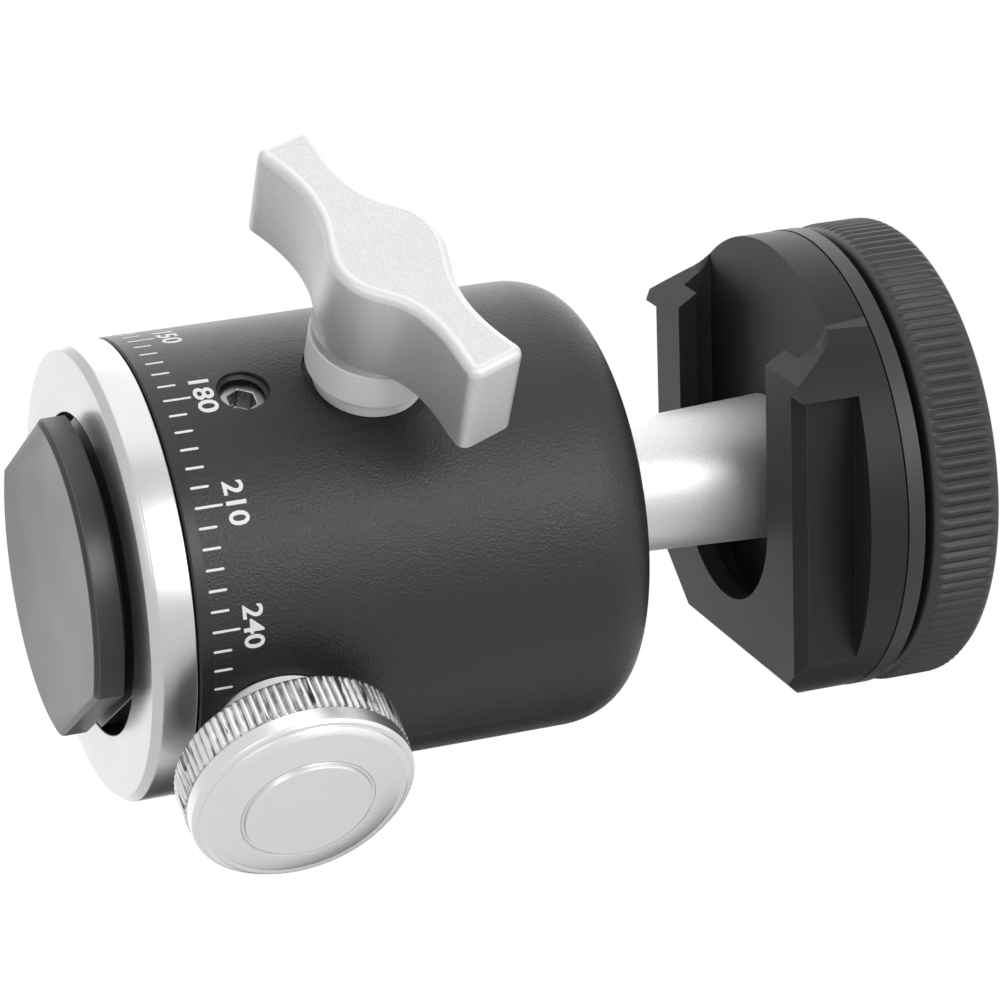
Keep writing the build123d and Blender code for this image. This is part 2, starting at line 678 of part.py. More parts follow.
with BuildPart() as top_plate:
    with BuildSketch(Plane.XY.offset(PLATE_LOW)):
        Circle(PLATE_R)
        Circle(STUD_R + FIT, mode=Mode.SUBTRACT)
        with PolarLocations(SCREW_RING_R, SCREW_COUNT):
            Circle(PLATE_SCREW_R + SEAT, mode=Mode.SUBTRACT)
    extrude(amount=PLATE_TOP - PLATE_LOW)
    with PolarLocations(SCREW_RING_R, SCREW_COUNT):
        with Locations((0, 0, (screw_head_low + PLATE_TOP) / 2)):
            Cone(
                PLATE_SCREW_R + 2 * SEAT,
                PLATE_SCREW_HEAD_R + 2 * SEAT + PLATE_TOP - PLATE_SCREW_TOP,
                PLATE_TOP - screw_head_low,
                mode=Mode.SUBTRACT,
            )
save(top_plate, "top_plate")

with BuildPart() as plate_screws:
    with BuildSketch(Plane.XY.offset(PLATE_SCREW_LOW)):
        with PolarLocations(SCREW_RING_R, SCREW_COUNT):
            Circle(PLATE_SCREW_R)
    extrude(amount=screw_head_low - PLATE_SCREW_LOW)
    with PolarLocations(SCREW_RING_R, SCREW_COUNT):
        with Locations((0, 0, (screw_head_low + PLATE_SCREW_TOP) / 2)):
            Cone(PLATE_SCREW_R, PLATE_SCREW_HEAD_R, PLATE_SCREW_TOP - screw_head_low)
save(plate_screws, "plate_screws")

# =============================== lock wheel ==================================
with BuildPart() as lock_wheel:
    with BuildSketch(Plane.XY.offset(WHEEL_LOW)):
        Circle(WHEEL_R)
        Circle(WHEEL_BUSH_R + SEAT, mode=Mode.SUBTRACT)
    extrude(amount=WHEEL_TOP - WHEEL_LOW)
    rims = lock_wheel.edges().filter_by(GeomType.CIRCLE).group_by(SortBy.RADIUS)[-1]
    fillet(rims, WHEEL_ROUND)
    with BuildSketch(Plane.XY.offset(WHEEL_LOW)):
        Circle(WASHER_OUT_R + FIT)
    extrude(amount=WASHER_TOP + FIT - WHEEL_LOW, mode=Mode.SUBTRACT)
    with BuildSketch(Plane.XY.offset(WHEEL_TOP)):
        Circle(PAD_OUT_R + SEAT)
        Circle(PAD_IN_R - SEAT, mode=Mode.SUBTRACT)
    extrude(amount=-PAD_DEPTH, mode=Mode.SUBTRACT)
save(lock_wheel, "lock_wheel")

with BuildPart() as wheel_bush:
    with BuildSketch(Plane.XY.offset(WHEEL_BUSH_LOW)):
        Circle(WHEEL_BUSH_R)
        Circle(STUD_R + FIT, mode=Mode.SUBTRACT)
    extrude(amount=WHEEL_BUSH_TOP - WHEEL_BUSH_LOW)
save(wheel_bush, "wheel_bush")

with BuildPart() as wheel_pad:
    with BuildSketch(Plane.XY.offset(WHEEL_TOP - PAD_DEPTH + SEAT)):
        Circle(PAD_OUT_R)
        Circle(PAD_IN_R, mode=Mode.SUBTRACT)
    extrude(amount=PAD_DEPTH - SEAT)
save(wheel_pad, "wheel_pad")

with BuildPart() as wheel_washer:
    with BuildSketch(Plane.XY.offset(WASHER_LOW)):
        Circle(WASHER_OUT_R)
        Circle(WASHER_IN_R, mode=Mode.SUBTRACT)
    extrude(amount=WASHER_TOP - WASHER_LOW)
save(wheel_washer, "wheel_washer")
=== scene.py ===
# %% [markdown]
# # Tripod ball head
# This notebook dresses a CAD model of a small tripod ball head. The CAD frame gives every piece its
# place. Blender adds what a machinist's drawing leaves out: knurls, threads, the degree scale, edge
# rounding and the metal, coating and plastic finishes. Blender's lengths are in metres, so `MM` turns
# millimetres into them.

# %% Load the frame
import json
from math import cos, pi, radians, sin

import bmesh
import bpy
from mathutils import Matrix, Vector


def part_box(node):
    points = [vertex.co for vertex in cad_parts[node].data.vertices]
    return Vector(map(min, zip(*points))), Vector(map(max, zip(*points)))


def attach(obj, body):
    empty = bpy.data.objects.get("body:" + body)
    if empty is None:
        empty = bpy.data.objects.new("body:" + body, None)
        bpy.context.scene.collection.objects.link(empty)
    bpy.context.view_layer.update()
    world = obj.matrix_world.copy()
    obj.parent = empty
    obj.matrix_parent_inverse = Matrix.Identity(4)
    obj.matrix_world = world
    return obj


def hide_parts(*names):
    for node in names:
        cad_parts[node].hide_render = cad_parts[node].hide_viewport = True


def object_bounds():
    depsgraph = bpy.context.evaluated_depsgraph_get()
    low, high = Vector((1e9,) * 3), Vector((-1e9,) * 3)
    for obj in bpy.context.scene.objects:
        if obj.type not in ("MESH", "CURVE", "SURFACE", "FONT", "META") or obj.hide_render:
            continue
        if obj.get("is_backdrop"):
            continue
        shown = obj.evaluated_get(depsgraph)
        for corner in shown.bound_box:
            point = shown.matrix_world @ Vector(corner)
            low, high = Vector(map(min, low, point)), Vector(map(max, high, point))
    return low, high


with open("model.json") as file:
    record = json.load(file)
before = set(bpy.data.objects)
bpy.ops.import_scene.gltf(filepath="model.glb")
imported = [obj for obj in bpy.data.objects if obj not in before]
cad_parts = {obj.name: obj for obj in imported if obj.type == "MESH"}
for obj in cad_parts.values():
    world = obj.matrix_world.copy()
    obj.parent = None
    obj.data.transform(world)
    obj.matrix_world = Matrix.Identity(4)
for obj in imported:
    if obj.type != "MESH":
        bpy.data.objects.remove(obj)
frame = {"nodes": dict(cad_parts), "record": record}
BOX_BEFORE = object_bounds()
NODES = frame["nodes"]
BODIES = frame["record"]["behaviour"]["bodies"]
BODY_OF = {node: body for body, nodes in BODIES.items() for node in nodes}
SLOT_OF = {part["node"]: part["material_slot"] for part in frame["record"]["subparts"]}
MM = 0.001
print("nodes", len(NODES), "box", [round(v / MM, 1) for v in (*BOX_BEFORE[0], *BOX_BEFORE[1])])


def top_of(node):
    """Highest point of a CAD node, along Z."""
    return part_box(node)[1].z


def radius_of(node):
    """Radius of a CAD node that is round about the Z axis."""
    low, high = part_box(node)
    return (high.y - low.y) / 2


# %% [markdown]
# ## Shader maths that reads like maths
# A node tree is a formula drawn as boxes. It could be wired box by box, but the formula is then hard
# to see. The small class below wraps one output socket instead, so that `noise * 0.5 + 0.2` in Python
# becomes two Math nodes. Every shader node comes from `Wiring.node`, which takes the node's type, a
# value or a link for each socket, and the node's settings.

# %% Shader helpers
class Value:
    """One output socket of a node tree, with Python's operators."""

    def __init__(self, wiring, socket):
        self.wiring = wiring
        self.socket = socket

    def math(self, operation, *others):
        sockets = dict(enumerate((self, *others)))
        return self.wiring.node("ShaderNodeMath", sockets, {"operation": operation})

    def __add__(self, other):
        return self.math("ADD", other)

    def __sub__(self, other):
        return self.math("SUBTRACT", other)

    def __rsub__(self, other):
        return self * -1.0 + other

    def __mul__(self, other):
        return self.math("MULTIPLY", other)

    def __gt__(self, other):
        return self.math("GREATER_THAN", other)

    def __lt__(self, other):
        return self.math("LESS_THAN", other)

    def power(self, other):
        return self.math("POWER", other)

    __radd__ = __add__
    __rmul__ = __mul__


class Wiring:
    """A node tree that is filled from Python."""

    def __init__(self, tree):
        self.tree = tree

    def plug(self, socket, value):
        """Link a socket to a Value, or set it to a plain number or colour."""
        if isinstance(value, Value):
            self.tree.links.new(value.socket, socket)
        else:
            socket.default_value = value

    def node(self, kind, sockets=None, settings=None, out=0):
        """Any node. Sockets go by name or by place; `out` picks the output that comes back.

        A tree's last node has no output, and gives back an empty Value.
        """
        made = self.tree.nodes.new(kind)
        for setting, value in (settings or {}).items():
            setattr(made, setting, value)
        for socket, value in (sockets or {}).items():
            self.plug(made.inputs[socket], value)
        return Value(self, made.outputs[out] if made.outputs else None)


class Finish(Wiring):
    """A material whose surface is one Principled BSDF."""

    def __init__(self, name, **constants):
        self.material = bpy.data.materials.new(name)
        self.material.use_nodes = True
        super().__init__(self.material.node_tree)
        self.surface = self.tree.nodes["Principled BSDF"]
        for socket, value in constants.items():
            self.surface.inputs[socket.replace("_", " ")].default_value = value
        self.place = self.node("ShaderNodeTexCoord", out="Object")
        axes = (self.node("ShaderNodeSeparateXYZ", {0: self.place}, out=axis) for axis in "XYZ")
        self.x, self.y, self.z = axes

    def vector(self, x, y, z):
        return self.node("ShaderNodeCombineXYZ", {"X": x, "Y": y, "Z": z})

    def distance(self, a, b):
        """Distance from an axis, from the two coordinates across it."""
        return (a * a + b * b).power(0.5)

    def noise(self, at, scale, detail=3.0, rough=0.5):
        """Soft clouds between 0 and 1; `scale` says how many fit in a metre."""
        sockets = {"Vector": at, "Scale": scale, "Detail": detail, "Roughness": rough}
        return self.node("ShaderNodeTexNoise", sockets)

    def span(self, value, low, high, to_low=0.0, to_high=1.0):
        """Stretch the range from `low` to `high` over a new one, and hold it there."""
        ranges = {"From Min": low, "From Max": high, "To Min": to_low, "To Max": to_high}
        return self.node("ShaderNodeMapRange", {"Value": value, **ranges})

    def mix(self, share, first, second):
        """A colour between two. A Mix node repeats its sockets for each kind of data."""
        sockets = {0: share, 6: first, 7: second}  # 6 and 7 are its two colours
        return self.node("ShaderNodeMix", sockets, {"data_type": "RGBA"}, out=2)

    def done(self, colour, rough, height=None, depth=None):
        """Plug in what varies. `depth` is how far the bumps of `height` stand out."""
        self.plug(self.surface.inputs["Base Color"], colour)
        self.plug(self.surface.inputs["Roughness"], rough)
        if height is not None:
            bump = self.node("ShaderNodeBump", {"Height": height, "Distance": depth})
            self.plug(self.surface.inputs["Normal"], bump)
        return self.material


def grey(level, warm=0.0):
    """A near-neutral colour; `warm` leans it to the red side."""
    return (level * (1 + warm), level, level * (1 - warm), 1.0)


print("a middle grey", grey(0.5), "and a cool one", grey(0.5, -0.02))

# %% [markdown]
# ## Black finishes
# The housing wears a powder coat: nearly black, satin, with a leather grain in relief. An image of
# leather could be wrapped round it, but noise that reads the object's own coordinates has no seam.
# The foot and platform are black anodised, a dyed skin on the aluminium that rubs paler on its edges.
# Rounded edges carry a face attribute that says where they are. On the black finishes it makes them
# paler, as wear; on blasted metal it makes them brighter, as wear and a painted highlight.

# %% Black finishes
GRAIN_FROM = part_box("housing")[0].z + 1.03 * MM  # the housing's lower rim is smooth
COOL = -0.02


def edge_wear(s):
    """1 on rounded edges, painted paler as wear and on blasted metal also as a painted highlight; 0
    elsewhere.
    """
    return s.node("ShaderNodeAttribute", settings={"attribute_name": "rubbed_and_lit"}, out="Fac")


def make_coat():
    s = Finish("black_coat", Specular_IOR_Level=0.4)
    grain = s.noise(s.place, scale=5200.0, detail=2.0, rough=0.55)
    broad = s.noise(s.place, scale=160.0)
    colour = s.mix(broad, grey(0.011), grey(0.018))
    return s.done(colour, 0.36 + broad * 0.1, grain * (s.z > GRAIN_FROM), 0.06 * MM)


def make_anodised(name, gloss, rough):
    s = Finish(name, Specular_IOR_Level=gloss)
    fine = s.noise(s.place, scale=9000.0, detail=2.0, rough=0.6)
    broad = s.noise(s.place, scale=120.0)
    black = s.mix(broad, grey(0.016, COOL), grey(0.024, COOL))
    colour = s.mix(edge_wear(s), black, grey(0.06))
    return s.done(colour, rough + broad * 0.1, fine, 0.004 * MM)


LOOKS = {
    "black_coat": make_coat(),
    "black_anodised": make_anodised("black_anodised", gloss=0.18, rough=0.42),
}
FOOT_LOOK = make_anodised("foot_anodised", gloss=0.5, rough=0.3)
WHEEL_LOOK = make_anodised("wheel_anodised", gloss=0.45, rough=0.44)
print("black finishes", [*LOOKS, FOOT_LOOK.name, WHEEL_LOOK.name])

# %% [markdown]
# ## Turned aluminium
# The ring and the knob came off a lathe, which leaves fine grooves round the axis. An anisotropic
# surface would smear the highlight in the same way, but it isn't kept when materials are baked. So
# the grooves are noise that reads only the distance from the axis and the place along it, and is
# the same all the way round. The knob's grooves between its ribs get painted shade, and its ribs
# carry dark streaks.

# %% Turned aluminium
KNOB_LOW, KNOB_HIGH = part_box("pan_knob")
KNOB_CENTRE_Z = (KNOB_LOW.z + KNOB_HIGH.z) / 2
KNOB_RADIUS = (KNOB_HIGH.z - KNOB_LOW.z) / 2
# The knurled stretch of the knob, where its grooves get painted shade.
PAINTED_KNURL_BACK = KNOB_HIGH.x - 5.7 * MM
PAINTED_KNURL_FRONT = KNOB_HIGH.x - 2.62 * MM
GROOVE_BOTTOM = KNOB_RADIUS - 0.16 * MM
GROOVE_TOP = KNOB_RADIUS - 0.04 * MM
# The painted shade in the knob's grooves, and the colour of the dark streaks along its ribs.
GROOVE_SHADE = grey(0.16)
RIB_STREAK = grey(0.04)


def knurl_grime(s, metal, radius):
    """Painted shade in patches in the knob's grooves, and dark streaks along its ribs."""
    knurled = (s.x > PAINTED_KNURL_BACK) * (s.x < PAINTED_KNURL_FRONT)
    groove = s.span(radius, GROOVE_BOTTOM, GROOVE_TOP, 1.0, 0.0)
    patchy = s.span(s.noise(s.place, scale=900.0, detail=2.0), 0.3, 0.7, 0.2, 1.0)
    along_ribs = s.vector(s.x * 0.08, s.y, s.z)
    rib_streaks = s.span(s.noise(along_ribs, scale=2600.0, rough=0.7), 0.57, 0.63)
    groove_shaded = s.mix(knurled * groove * patchy, metal, GROOVE_SHADE)
    return s.mix(knurled * rib_streaks, groove_shaded, RIB_STREAK)


def make_turned(name, along, low, high):
    """Turned aluminium, between two greys. `along` is the axis of the lathe."""
    s = Finish(name, Metallic=1.0)
    if along == "z":
        radius = s.distance(s.x, s.y)
        marks = s.vector(radius, s.z, 0.0)
    else:
        radius = s.distance(s.y, s.z - KNOB_CENTRE_Z)
        marks = s.vector(radius, s.x, 0.0)
    rings = s.noise(marks, scale=9000.0, rough=0.6)
    coarse = s.noise(marks, scale=1500.0, detail=2.0)
    cloud = s.noise(s.place, scale=250.0)
    colour = s.mix(cloud * 0.4 + rings * 0.6, grey(low), grey(high))
    if along == "x":
        colour = knurl_grime(s, colour, radius)
    rough = 0.2 + rings * 0.12 + cloud * 0.08
    return s.done(colour, rough, rings * 0.6 + coarse, 0.006 * MM)


LOOKS["turned_aluminium"] = make_turned("turned_ring", along="z", low=0.46, high=0.56)
KNOB_LOOK = make_turned("turned_knob", along="x", low=0.60, high=0.72)
# Where the knob's painted groove shade starts and ends along its axis.
print("the knob's painted_groove_shade from", round(PAINTED_KNURL_BACK / MM, 2), "to", round(PAINTED_KNURL_FRONT / MM, 2))

# %% [markdown]
# ## Blasted aluminium
# The lever and the stem are blasted with glass beads, which leaves a field of tiny pits. A rough
# metal alone looks smooth and plastic. Here one noise gives both the pits' relief and their colour,
# so that the light speckles sit on the relief. The metal is mixed with some plain reflection, because
# the pits throw light back in every direction.

# %% Blasted aluminium
def make_blasted(name, metallic, low, high, rough):
    s = Finish(name, Metallic=metallic)
    pits = s.noise(s.place, scale=9000.0, detail=2.0, rough=0.6)
    broad = s.noise(s.place, scale=180.0)
    speckled = s.mix(s.span(pits, 0.3, 0.7), grey(low), grey(high))
    # Rounded edges are painted brighter: wear, and a painted highlight on the bevels.
    colour = s.mix(edge_wear(s), speckled, grey(high * 1.05))
    return s.done(colour, rough + broad * 0.1, pits, 0.016 * MM)


LOOKS["blasted_aluminium"] = make_blasted("blasted_aluminium", 0.45, low=0.53, high=0.67, rough=0.36)
STEM_LOOK = make_blasted("blasted_stem", 0.85, low=0.60, high=0.74, rough=0.44)
print("blasted", STEM_LOOK.name)

# %% [markdown]
# ## Steel, brass, plastic, rubber and paint
# Small parts show little of their finish, so two plain recipes make them all: a metal with faint
# rings from the lathe, and a plastic with soft clouds. The scale is printed in white.

# %% Small parts' finishes
def make_metal(name, low, high, rough):
    """A machined metal; `low` and `high` are its darkest and lightest colours."""
    s = Finish(name, Metallic=1.0)
    rings = s.noise(s.vector(s.distance(s.x, s.y), s.z, 0.0), scale=6000.0, detail=2.0)
    cloud = s.noise(s.place, scale=300.0)
    return s.done(s.mix(cloud, low, high), rough + cloud * 0.15, rings, 0.003 * MM)


def make_plastic(name, low, high, rough):
    s = Finish(name)
    cloud = s.noise(s.place, scale=700.0)
    fine = s.noise(s.place, scale=6000.0, detail=2.0)
    return s.done(s.mix(cloud, low, high), rough + cloud * 0.1, fine, 0.003 * MM)


def make_paint():
    s = Finish("white_paint")
    cloud = s.noise(s.place, scale=2500.0)
    return s.done(s.mix(cloud, grey(0.72), grey(0.88)), 0.5 + cloud * 0.1, cloud, 0.003 * MM)


DARK_BRASS = (0.62, 0.40, 0.14, 1.0)
LIGHT_BRASS = (0.78, 0.55, 0.24, 1.0)
LOOKS["steel"] = make_metal("steel", grey(0.42), grey(0.58), rough=0.25)
LOOKS["polished_steel"] = make_metal("polished_steel", grey(0.70), grey(0.78), rough=0.08)
LOOKS["brass"] = make_metal("brass", DARK_BRASS, LIGHT_BRASS, rough=0.22)
LOOKS["nylon"] = make_plastic("nylon", grey(0.92), grey(0.98), rough=0.3)
LOOKS["nylon_black"] = make_plastic("nylon_black", grey(0.02), grey(0.03), rough=0.4)
LOOKS["rubber"] = make_plastic("rubber", grey(0.016), grey(0.028), rough=0.7)
GRUB_LOOK = make_metal("dark_steel", grey(0.26), grey(0.44), rough=0.2)
PAINT = make_paint()
print("finishes", sorted(LOOKS))

# %% [markdown]
# ## Two ways to make a piece
# `machined` copies a CAD node, merges its loose triangles and rounds its sharp edges, because no real
# edge is perfectly sharp and the thin highlight on it is what makes metal look like metal.
# `turned` spins a profile round an axis, which suits everything that came off a lathe.

# %% Helpers for every piece
SHARP = radians(32)  # faces that turn by more than this meet in an edge
WELD = 0.001 * MM


def adopt(piece, node, look=None):
    """Hang a finished piece on the CAD body of `node`, which it replaces, with that node's finish."""
    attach(piece, BODY_OF[node])
    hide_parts(node)
    piece.data.materials.clear()
    piece.data.materials.append(look or LOOKS[SLOT_OF[node]])
    return piece


def new_piece(name, mesh):
    piece = bpy.data.objects.new(name, mesh)
    bpy.context.scene.collection.objects.link(piece)
    return piece


def as_mesh(shape, name, closed=True):
    """A mesh from a bmesh. A closed one first has its faces turned outward."""
    if closed:
        bmesh.ops.recalc_face_normals(shape, faces=shape.faces)
    mesh = bpy.data.meshes.new(name)
    shape.to_mesh(mesh)
    shape.free()
    return mesh


def plain_mesh(piece):
    """The mesh of a piece as its modifiers leave it."""
    graph = bpy.context.evaluated_depsgraph_get()
    return bpy.data.meshes.new_from_object(piece.evaluated_get(graph), depsgraph=graph)


def apply_modifiers(piece):
    mesh = plain_mesh(piece)
    piece.modifiers.clear()
    piece.data = mesh


def shade(mesh, sharp=SHARP):
    """Smooth shading that breaks at sharp edges."""
    mesh.polygons.foreach_set("use_smooth", [True] * len(mesh.polygons))
    mesh.set_sharp_from_angle(angle=sharp)


print("edges sharper than", round(SHARP, 2), "radians are rounded")

# %% Milled pieces
CRISP = radians(40)
FLAT_CORNERS = 8
FLAT_AREA = (1.5 * MM) ** 2


def welded(node):
    """A bmesh of a CAD node, whose loose triangles now share corners."""
    shape = bmesh.new()
    shape.from_mesh(NODES[node].data)
    bmesh.ops.remove_doubles(shape, verts=shape.verts, dist=WELD)
    return shape


def merged(node):
    """A clean mesh of a CAD node, with its flat regions as single faces."""
    shape = welded(node)
    bmesh.ops.dissolve_limit(shape, angle_limit=radians(0.3), verts=shape.verts, edges=shape.edges)
    return as_mesh(shape, node)


def narrowest(mesh, face):
    """Length of a face's shortest side."""
    ends = [mesh.edges[mesh.loops[i].edge_index].vertices for i in face.loop_indices]
    return min((mesh.vertices[a].co - mesh.vertices[b].co).length for a, b in ends)


def mark_wear(mesh, worn_and_lit):
    """Store one number per face: 1 on a rounded edge that the finish paints lighter, for wear and, on
    blasted metal, a painted highlight.
    """
    shares = mesh.attributes.new("rubbed_and_lit", "FLOAT", "FACE")
    shares.data.foreach_set("value", [float(share) for share in worn_and_lit])


def machined(node, edge=0.1 * MM, look=None, flats=True):
    """A copy of a CAD node with its edges rounded; `flats` shades its large flats flat."""
    piece = new_piece(f"{node}_finish", merged(node))
    shade(piece.data, CRISP)
    if edge:
        rounding = piece.modifiers.new("edges", "BEVEL")
        rounding.width = edge
        rounding.segments = 3
        rounding.limit_method = "ANGLE"
        rounding.angle_limit = SHARP
        even = piece.modifiers.new("large faces lead", "WEIGHTED_NORMAL")
        even.keep_sharp = True
        apply_modifiers(piece)
    faces = piece.data.polygons
    for face in faces:
        if flats and len(face.vertices) > FLAT_CORNERS and face.area > FLAT_AREA:
            face.use_smooth = False
    if edge:
        # Narrow faces of the rounded edges are marked to be painted lighter: wear, and on blasted metal
        # a painted highlight.
        mark_wear(piece.data, [narrowest(piece.data, face) < edge * 0.8 for face in faces])
    return adopt(piece, node, look)


print("flats start at", round(FLAT_AREA / MM / MM, 2), "square mm")

# %% Turned pieces
AXIS = 1e-9  # a point nearer than this lies on the axis
CORNER_STEPS = 3


def softened(profile, edge):
    """A profile with each inner corner swapped for a small curve."""
    made = [Vector(profile[0])]
    for before, corner, after in zip(profile, profile[1:], profile[2:]):
        corner = Vector(corner)
        back = Vector(before) - corner
        ahead = Vector(after) - corner
        reach = min(edge, back.length * 0.45, ahead.length * 0.45)
        start = corner + back.normalized() * reach
        end = corner + ahead.normalized() * reach
        for step in range(CORNER_STEPS + 1):
            t = step / CORNER_STEPS
            made.append(start * (1 - t) ** 2 + corner * 2 * t * (1 - t) + end * t * t)
    made.append(Vector(profile[-1]))
    return made


def bridge(shape, low, high):
    """Faces between two rings of corners. A ring of one corner is a pole."""
    count = max(len(low), len(high))
    for here in range(count):
        there = (here + 1) % count
        if len(low) == 1:
            corners = (low[0], high[here], high[there])
        elif len(high) == 1:
            corners = (low[here], low[there], high[0])
        else:
            corners = (low[here], low[there], high[there], high[here])
        shape.faces.new(corners)


def spun(profile, place, segments):
    """A mesh made by turning (radius, height) points round an axis.

    `place` turns (across, across, height) into a point of the frame. A profile that starts and ends
    on the axis closes at its poles; any other is a loop.
    """
    shape = bmesh.new()
    rings = []
    for radius, height in profile:
        corners = 1 if radius < AXIS else segments
        turns = [2 * pi * step / corners for step in range(corners)]
        rings.append([shape.verts.new(place(radius * cos(a), radius * sin(a), height)) for a in turns])
    if len(rings[0]) > 1:
        rings.append(rings[0])
    for low, high in zip(rings, rings[1:]):
        bridge(shape, low, high)
    mesh = as_mesh(shape, "spun")
    shade(mesh)
    return mesh


def upright(x, y, height):
    return Vector((x, y, height))


def turned(node, profile, edge=0.08 * MM, place=upright, segments=256, look=None):
    """A lathe piece in place of a CAD node, from a profile in millimetres."""
    points = [(r * MM, h * MM) for r, h in profile]
    if points[0][0] > AXIS:
        curve = softened([*points, points[0], points[1]], edge)[1:-1]
    else:
        curve = softened(points, edge)
    piece = new_piece(f"{node}_finish", spun(curve, place, segments))
    return adopt(piece, node, look)


print("each corner of a profile has", CORNER_STEPS + 1, "points")

# %% [markdown]
# ## Repeats with Geometry Nodes
# A knurl is one rib, many times. A loop could copy it, but a node tree says the rule once: it takes
# one small mesh, copies it round the Z axis, and hands back real geometry. Count, step and start are
# named inputs, so the same tree makes the knurl of the wheel, the knurl of the knob and the ticks of
# the degree scale.

# %% Repeat round an axis
SIZES = {"Count": "Int", "Step": "Float", "Start": "Float"}


def make_round_tree():
    """Copies of a small mesh round Z, each `Step` radians on from the last."""
    tree = bpy.data.node_groups.new("Repeat round Z", "GeometryNodeTree")
    for title, kind in {"Geometry": "Geometry", **SIZES, "Material": "Material"}.items():
        tree.interface.new_socket(title, in_out="INPUT", socket_type=f"NodeSocket{kind}")
    tree.interface.new_socket("Geometry", in_out="OUTPUT", socket_type="NodeSocketGeometry")
    new, link = tree.nodes.new, tree.links.new
    given = new("NodeGroupInput")
    result = new("NodeGroupOutput")
    points = new("GeometryNodePoints")
    index = new("GeometryNodeInputIndex")
    turn = new("ShaderNodeMath")
    turn.operation = "MULTIPLY_ADD"
    angles = new("ShaderNodeCombineXYZ")
    copies = new("GeometryNodeInstanceOnPoints")
    real = new("GeometryNodeRealizeInstances")
    paint = new("GeometryNodeSetMaterial")
    link(given.outputs["Count"], points.inputs["Count"])
    link(index.outputs[0], turn.inputs[0])
    link(given.outputs["Step"], turn.inputs[1])
    link(given.outputs["Start"], turn.inputs[2])
    link(turn.outputs[0], angles.inputs["Z"])
    link(points.outputs[0], copies.inputs["Points"])
    link(given.outputs["Geometry"], copies.inputs["Instance"])
    link(angles.outputs[0], copies.inputs["Rotation"])
    link(copies.outputs[0], real.inputs[0])
    link(real.outputs[0], paint.inputs["Geometry"])
    link(given.outputs["Material"], paint.inputs["Material"])
    link(paint.outputs[0], result.inputs[0])
    return tree


ROUND = make_round_tree()
SOCKETS = {item.name: item.identifier for item in ROUND.interface.items_tree if item.in_out == "INPUT"}


def repeated(name, mesh, count, step, start, material, place=None):
    """`mesh` copied round Z, as one plain mesh; `place` then moves it where it belongs."""
    piece = new_piece(name, mesh)
    repeat = piece.modifiers.new("repeat", "NODES")
    repeat.node_group = ROUND
    repeat[SOCKETS["Count"]] = count
    repeat[SOCKETS["Step"]] = step
    repeat[SOCKETS["Start"]] = start
    repeat[SOCKETS["Material"]] = material
    apply_modifiers(piece)
    if place:
        piece.data.transform(place)
    shade(piece.data)
    return piece


print("inputs of the repeat tree", sorted(SOCKETS))

# %% [markdown]
# ## Ribs of a knurl
# A knurling wheel presses ridges into a rim. Each rib is seven points across and six along, so that
# hundreds of them stay light: it swells from the root to the crest and fades at both ends.

# %% Rib
ACROSS = (-1.0, -0.55, -0.25, 0.0, 0.25, 0.55, 1.0)
LIFT = (0.0, 0.62, 0.93, 1.0, 0.93, 0.62, 0.0)


def rib_mesh(low, high, count, root, crest, margin):
    """One of `count` ribs, on +X, between two heights and two radii."""
    half = pi / count
    rise = [(low, 0.0), (low + margin * 0.4, 0.7), (low + margin, 1.0)]
    fall = [(high - margin, 1.0), (high - margin * 0.4, 0.7), (high, 0.0)]
    shape = bmesh.new()
    rows = []
    for height, share in rise + fall:
        row = []
        for side, up in zip(ACROSS, LIFT):
            reach = root + (crest - root) * up * share
            corner = (reach * cos(side * half), reach * sin(side * half), height)
            row.append(shape.verts.new(corner))
        rows.append(row)
    for here, there in zip(rows, rows[1:]):
        for left in range(len(ACROSS) - 1):
            shape.faces.new((here[left], here[left + 1], there[left + 1], there[left]))
    return as_mesh(shape, "rib", closed=False)


print("faces in a rib", (len(ACROSS) - 1) * 5)

# %% [markdown]
# ## The foot and the base ring
# The foot is milled, so it keeps its CAD shape with rounded edges. The ring came off a lathe: its
# profile is drawn once as (radius, height) points and spun. Its sizes are read from the frame.

# %% Foot and ring
machined("shoe_foot", 0.12 * MM, look=FOOT_LOOK)
RING_R = radius_of("base_ring") / MM
RING_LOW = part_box("base_ring")[0].z / MM
HOUSING_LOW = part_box("housing")[0].z / MM
RING_TOP = HOUSING_LOW - 0.12
RING_BORE_R = 2.7
RING_HUB_R = 10.5
HUB_TOP = RING_TOP + 9.0
RING_FLOOR = 5.02
RING_RECESS_R = 12.7
turned(
    "base_ring",
    [
        (RING_BORE_R, RING_FLOOR),
        (RING_RECESS_R, RING_FLOOR),
        (RING_RECESS_R, RING_LOW),
        (RING_R - 0.5, RING_LOW),
        (RING_R, RING_LOW + 0.65),
        (RING_R, RING_TOP - 0.1),
        (RING_R - 0.15, RING_TOP),
        (RING_HUB_R, RING_TOP),
        (RING_HUB_R, HUB_TOP),
        (RING_BORE_R, HUB_TOP),
    ],
    edge=0.12 * MM,
)
print("ring radius", RING_R, "from", RING_LOW, "to", round(RING_TOP, 2))

# %% [markdown]
# ## The housing and its degree scale
# The housing keeps its CAD shape. The scale is printed in white, and each mark could be a mask in the
# coat's material, but its edges would then blur close up. So every mark is a thin curved tile that
# lies on the wall, one tile per kind, repeated by the tree above. The marks leave out the flat seat
# of the knob.

# %% Housing
machined("housing", 0.15 * MM, flats=False)
machined("upper_race", 0.08 * MM)
HOUSING_R = radius_of("housing")
PAINT_UP = 0.012 * MM
ROUND_STEPS = 5


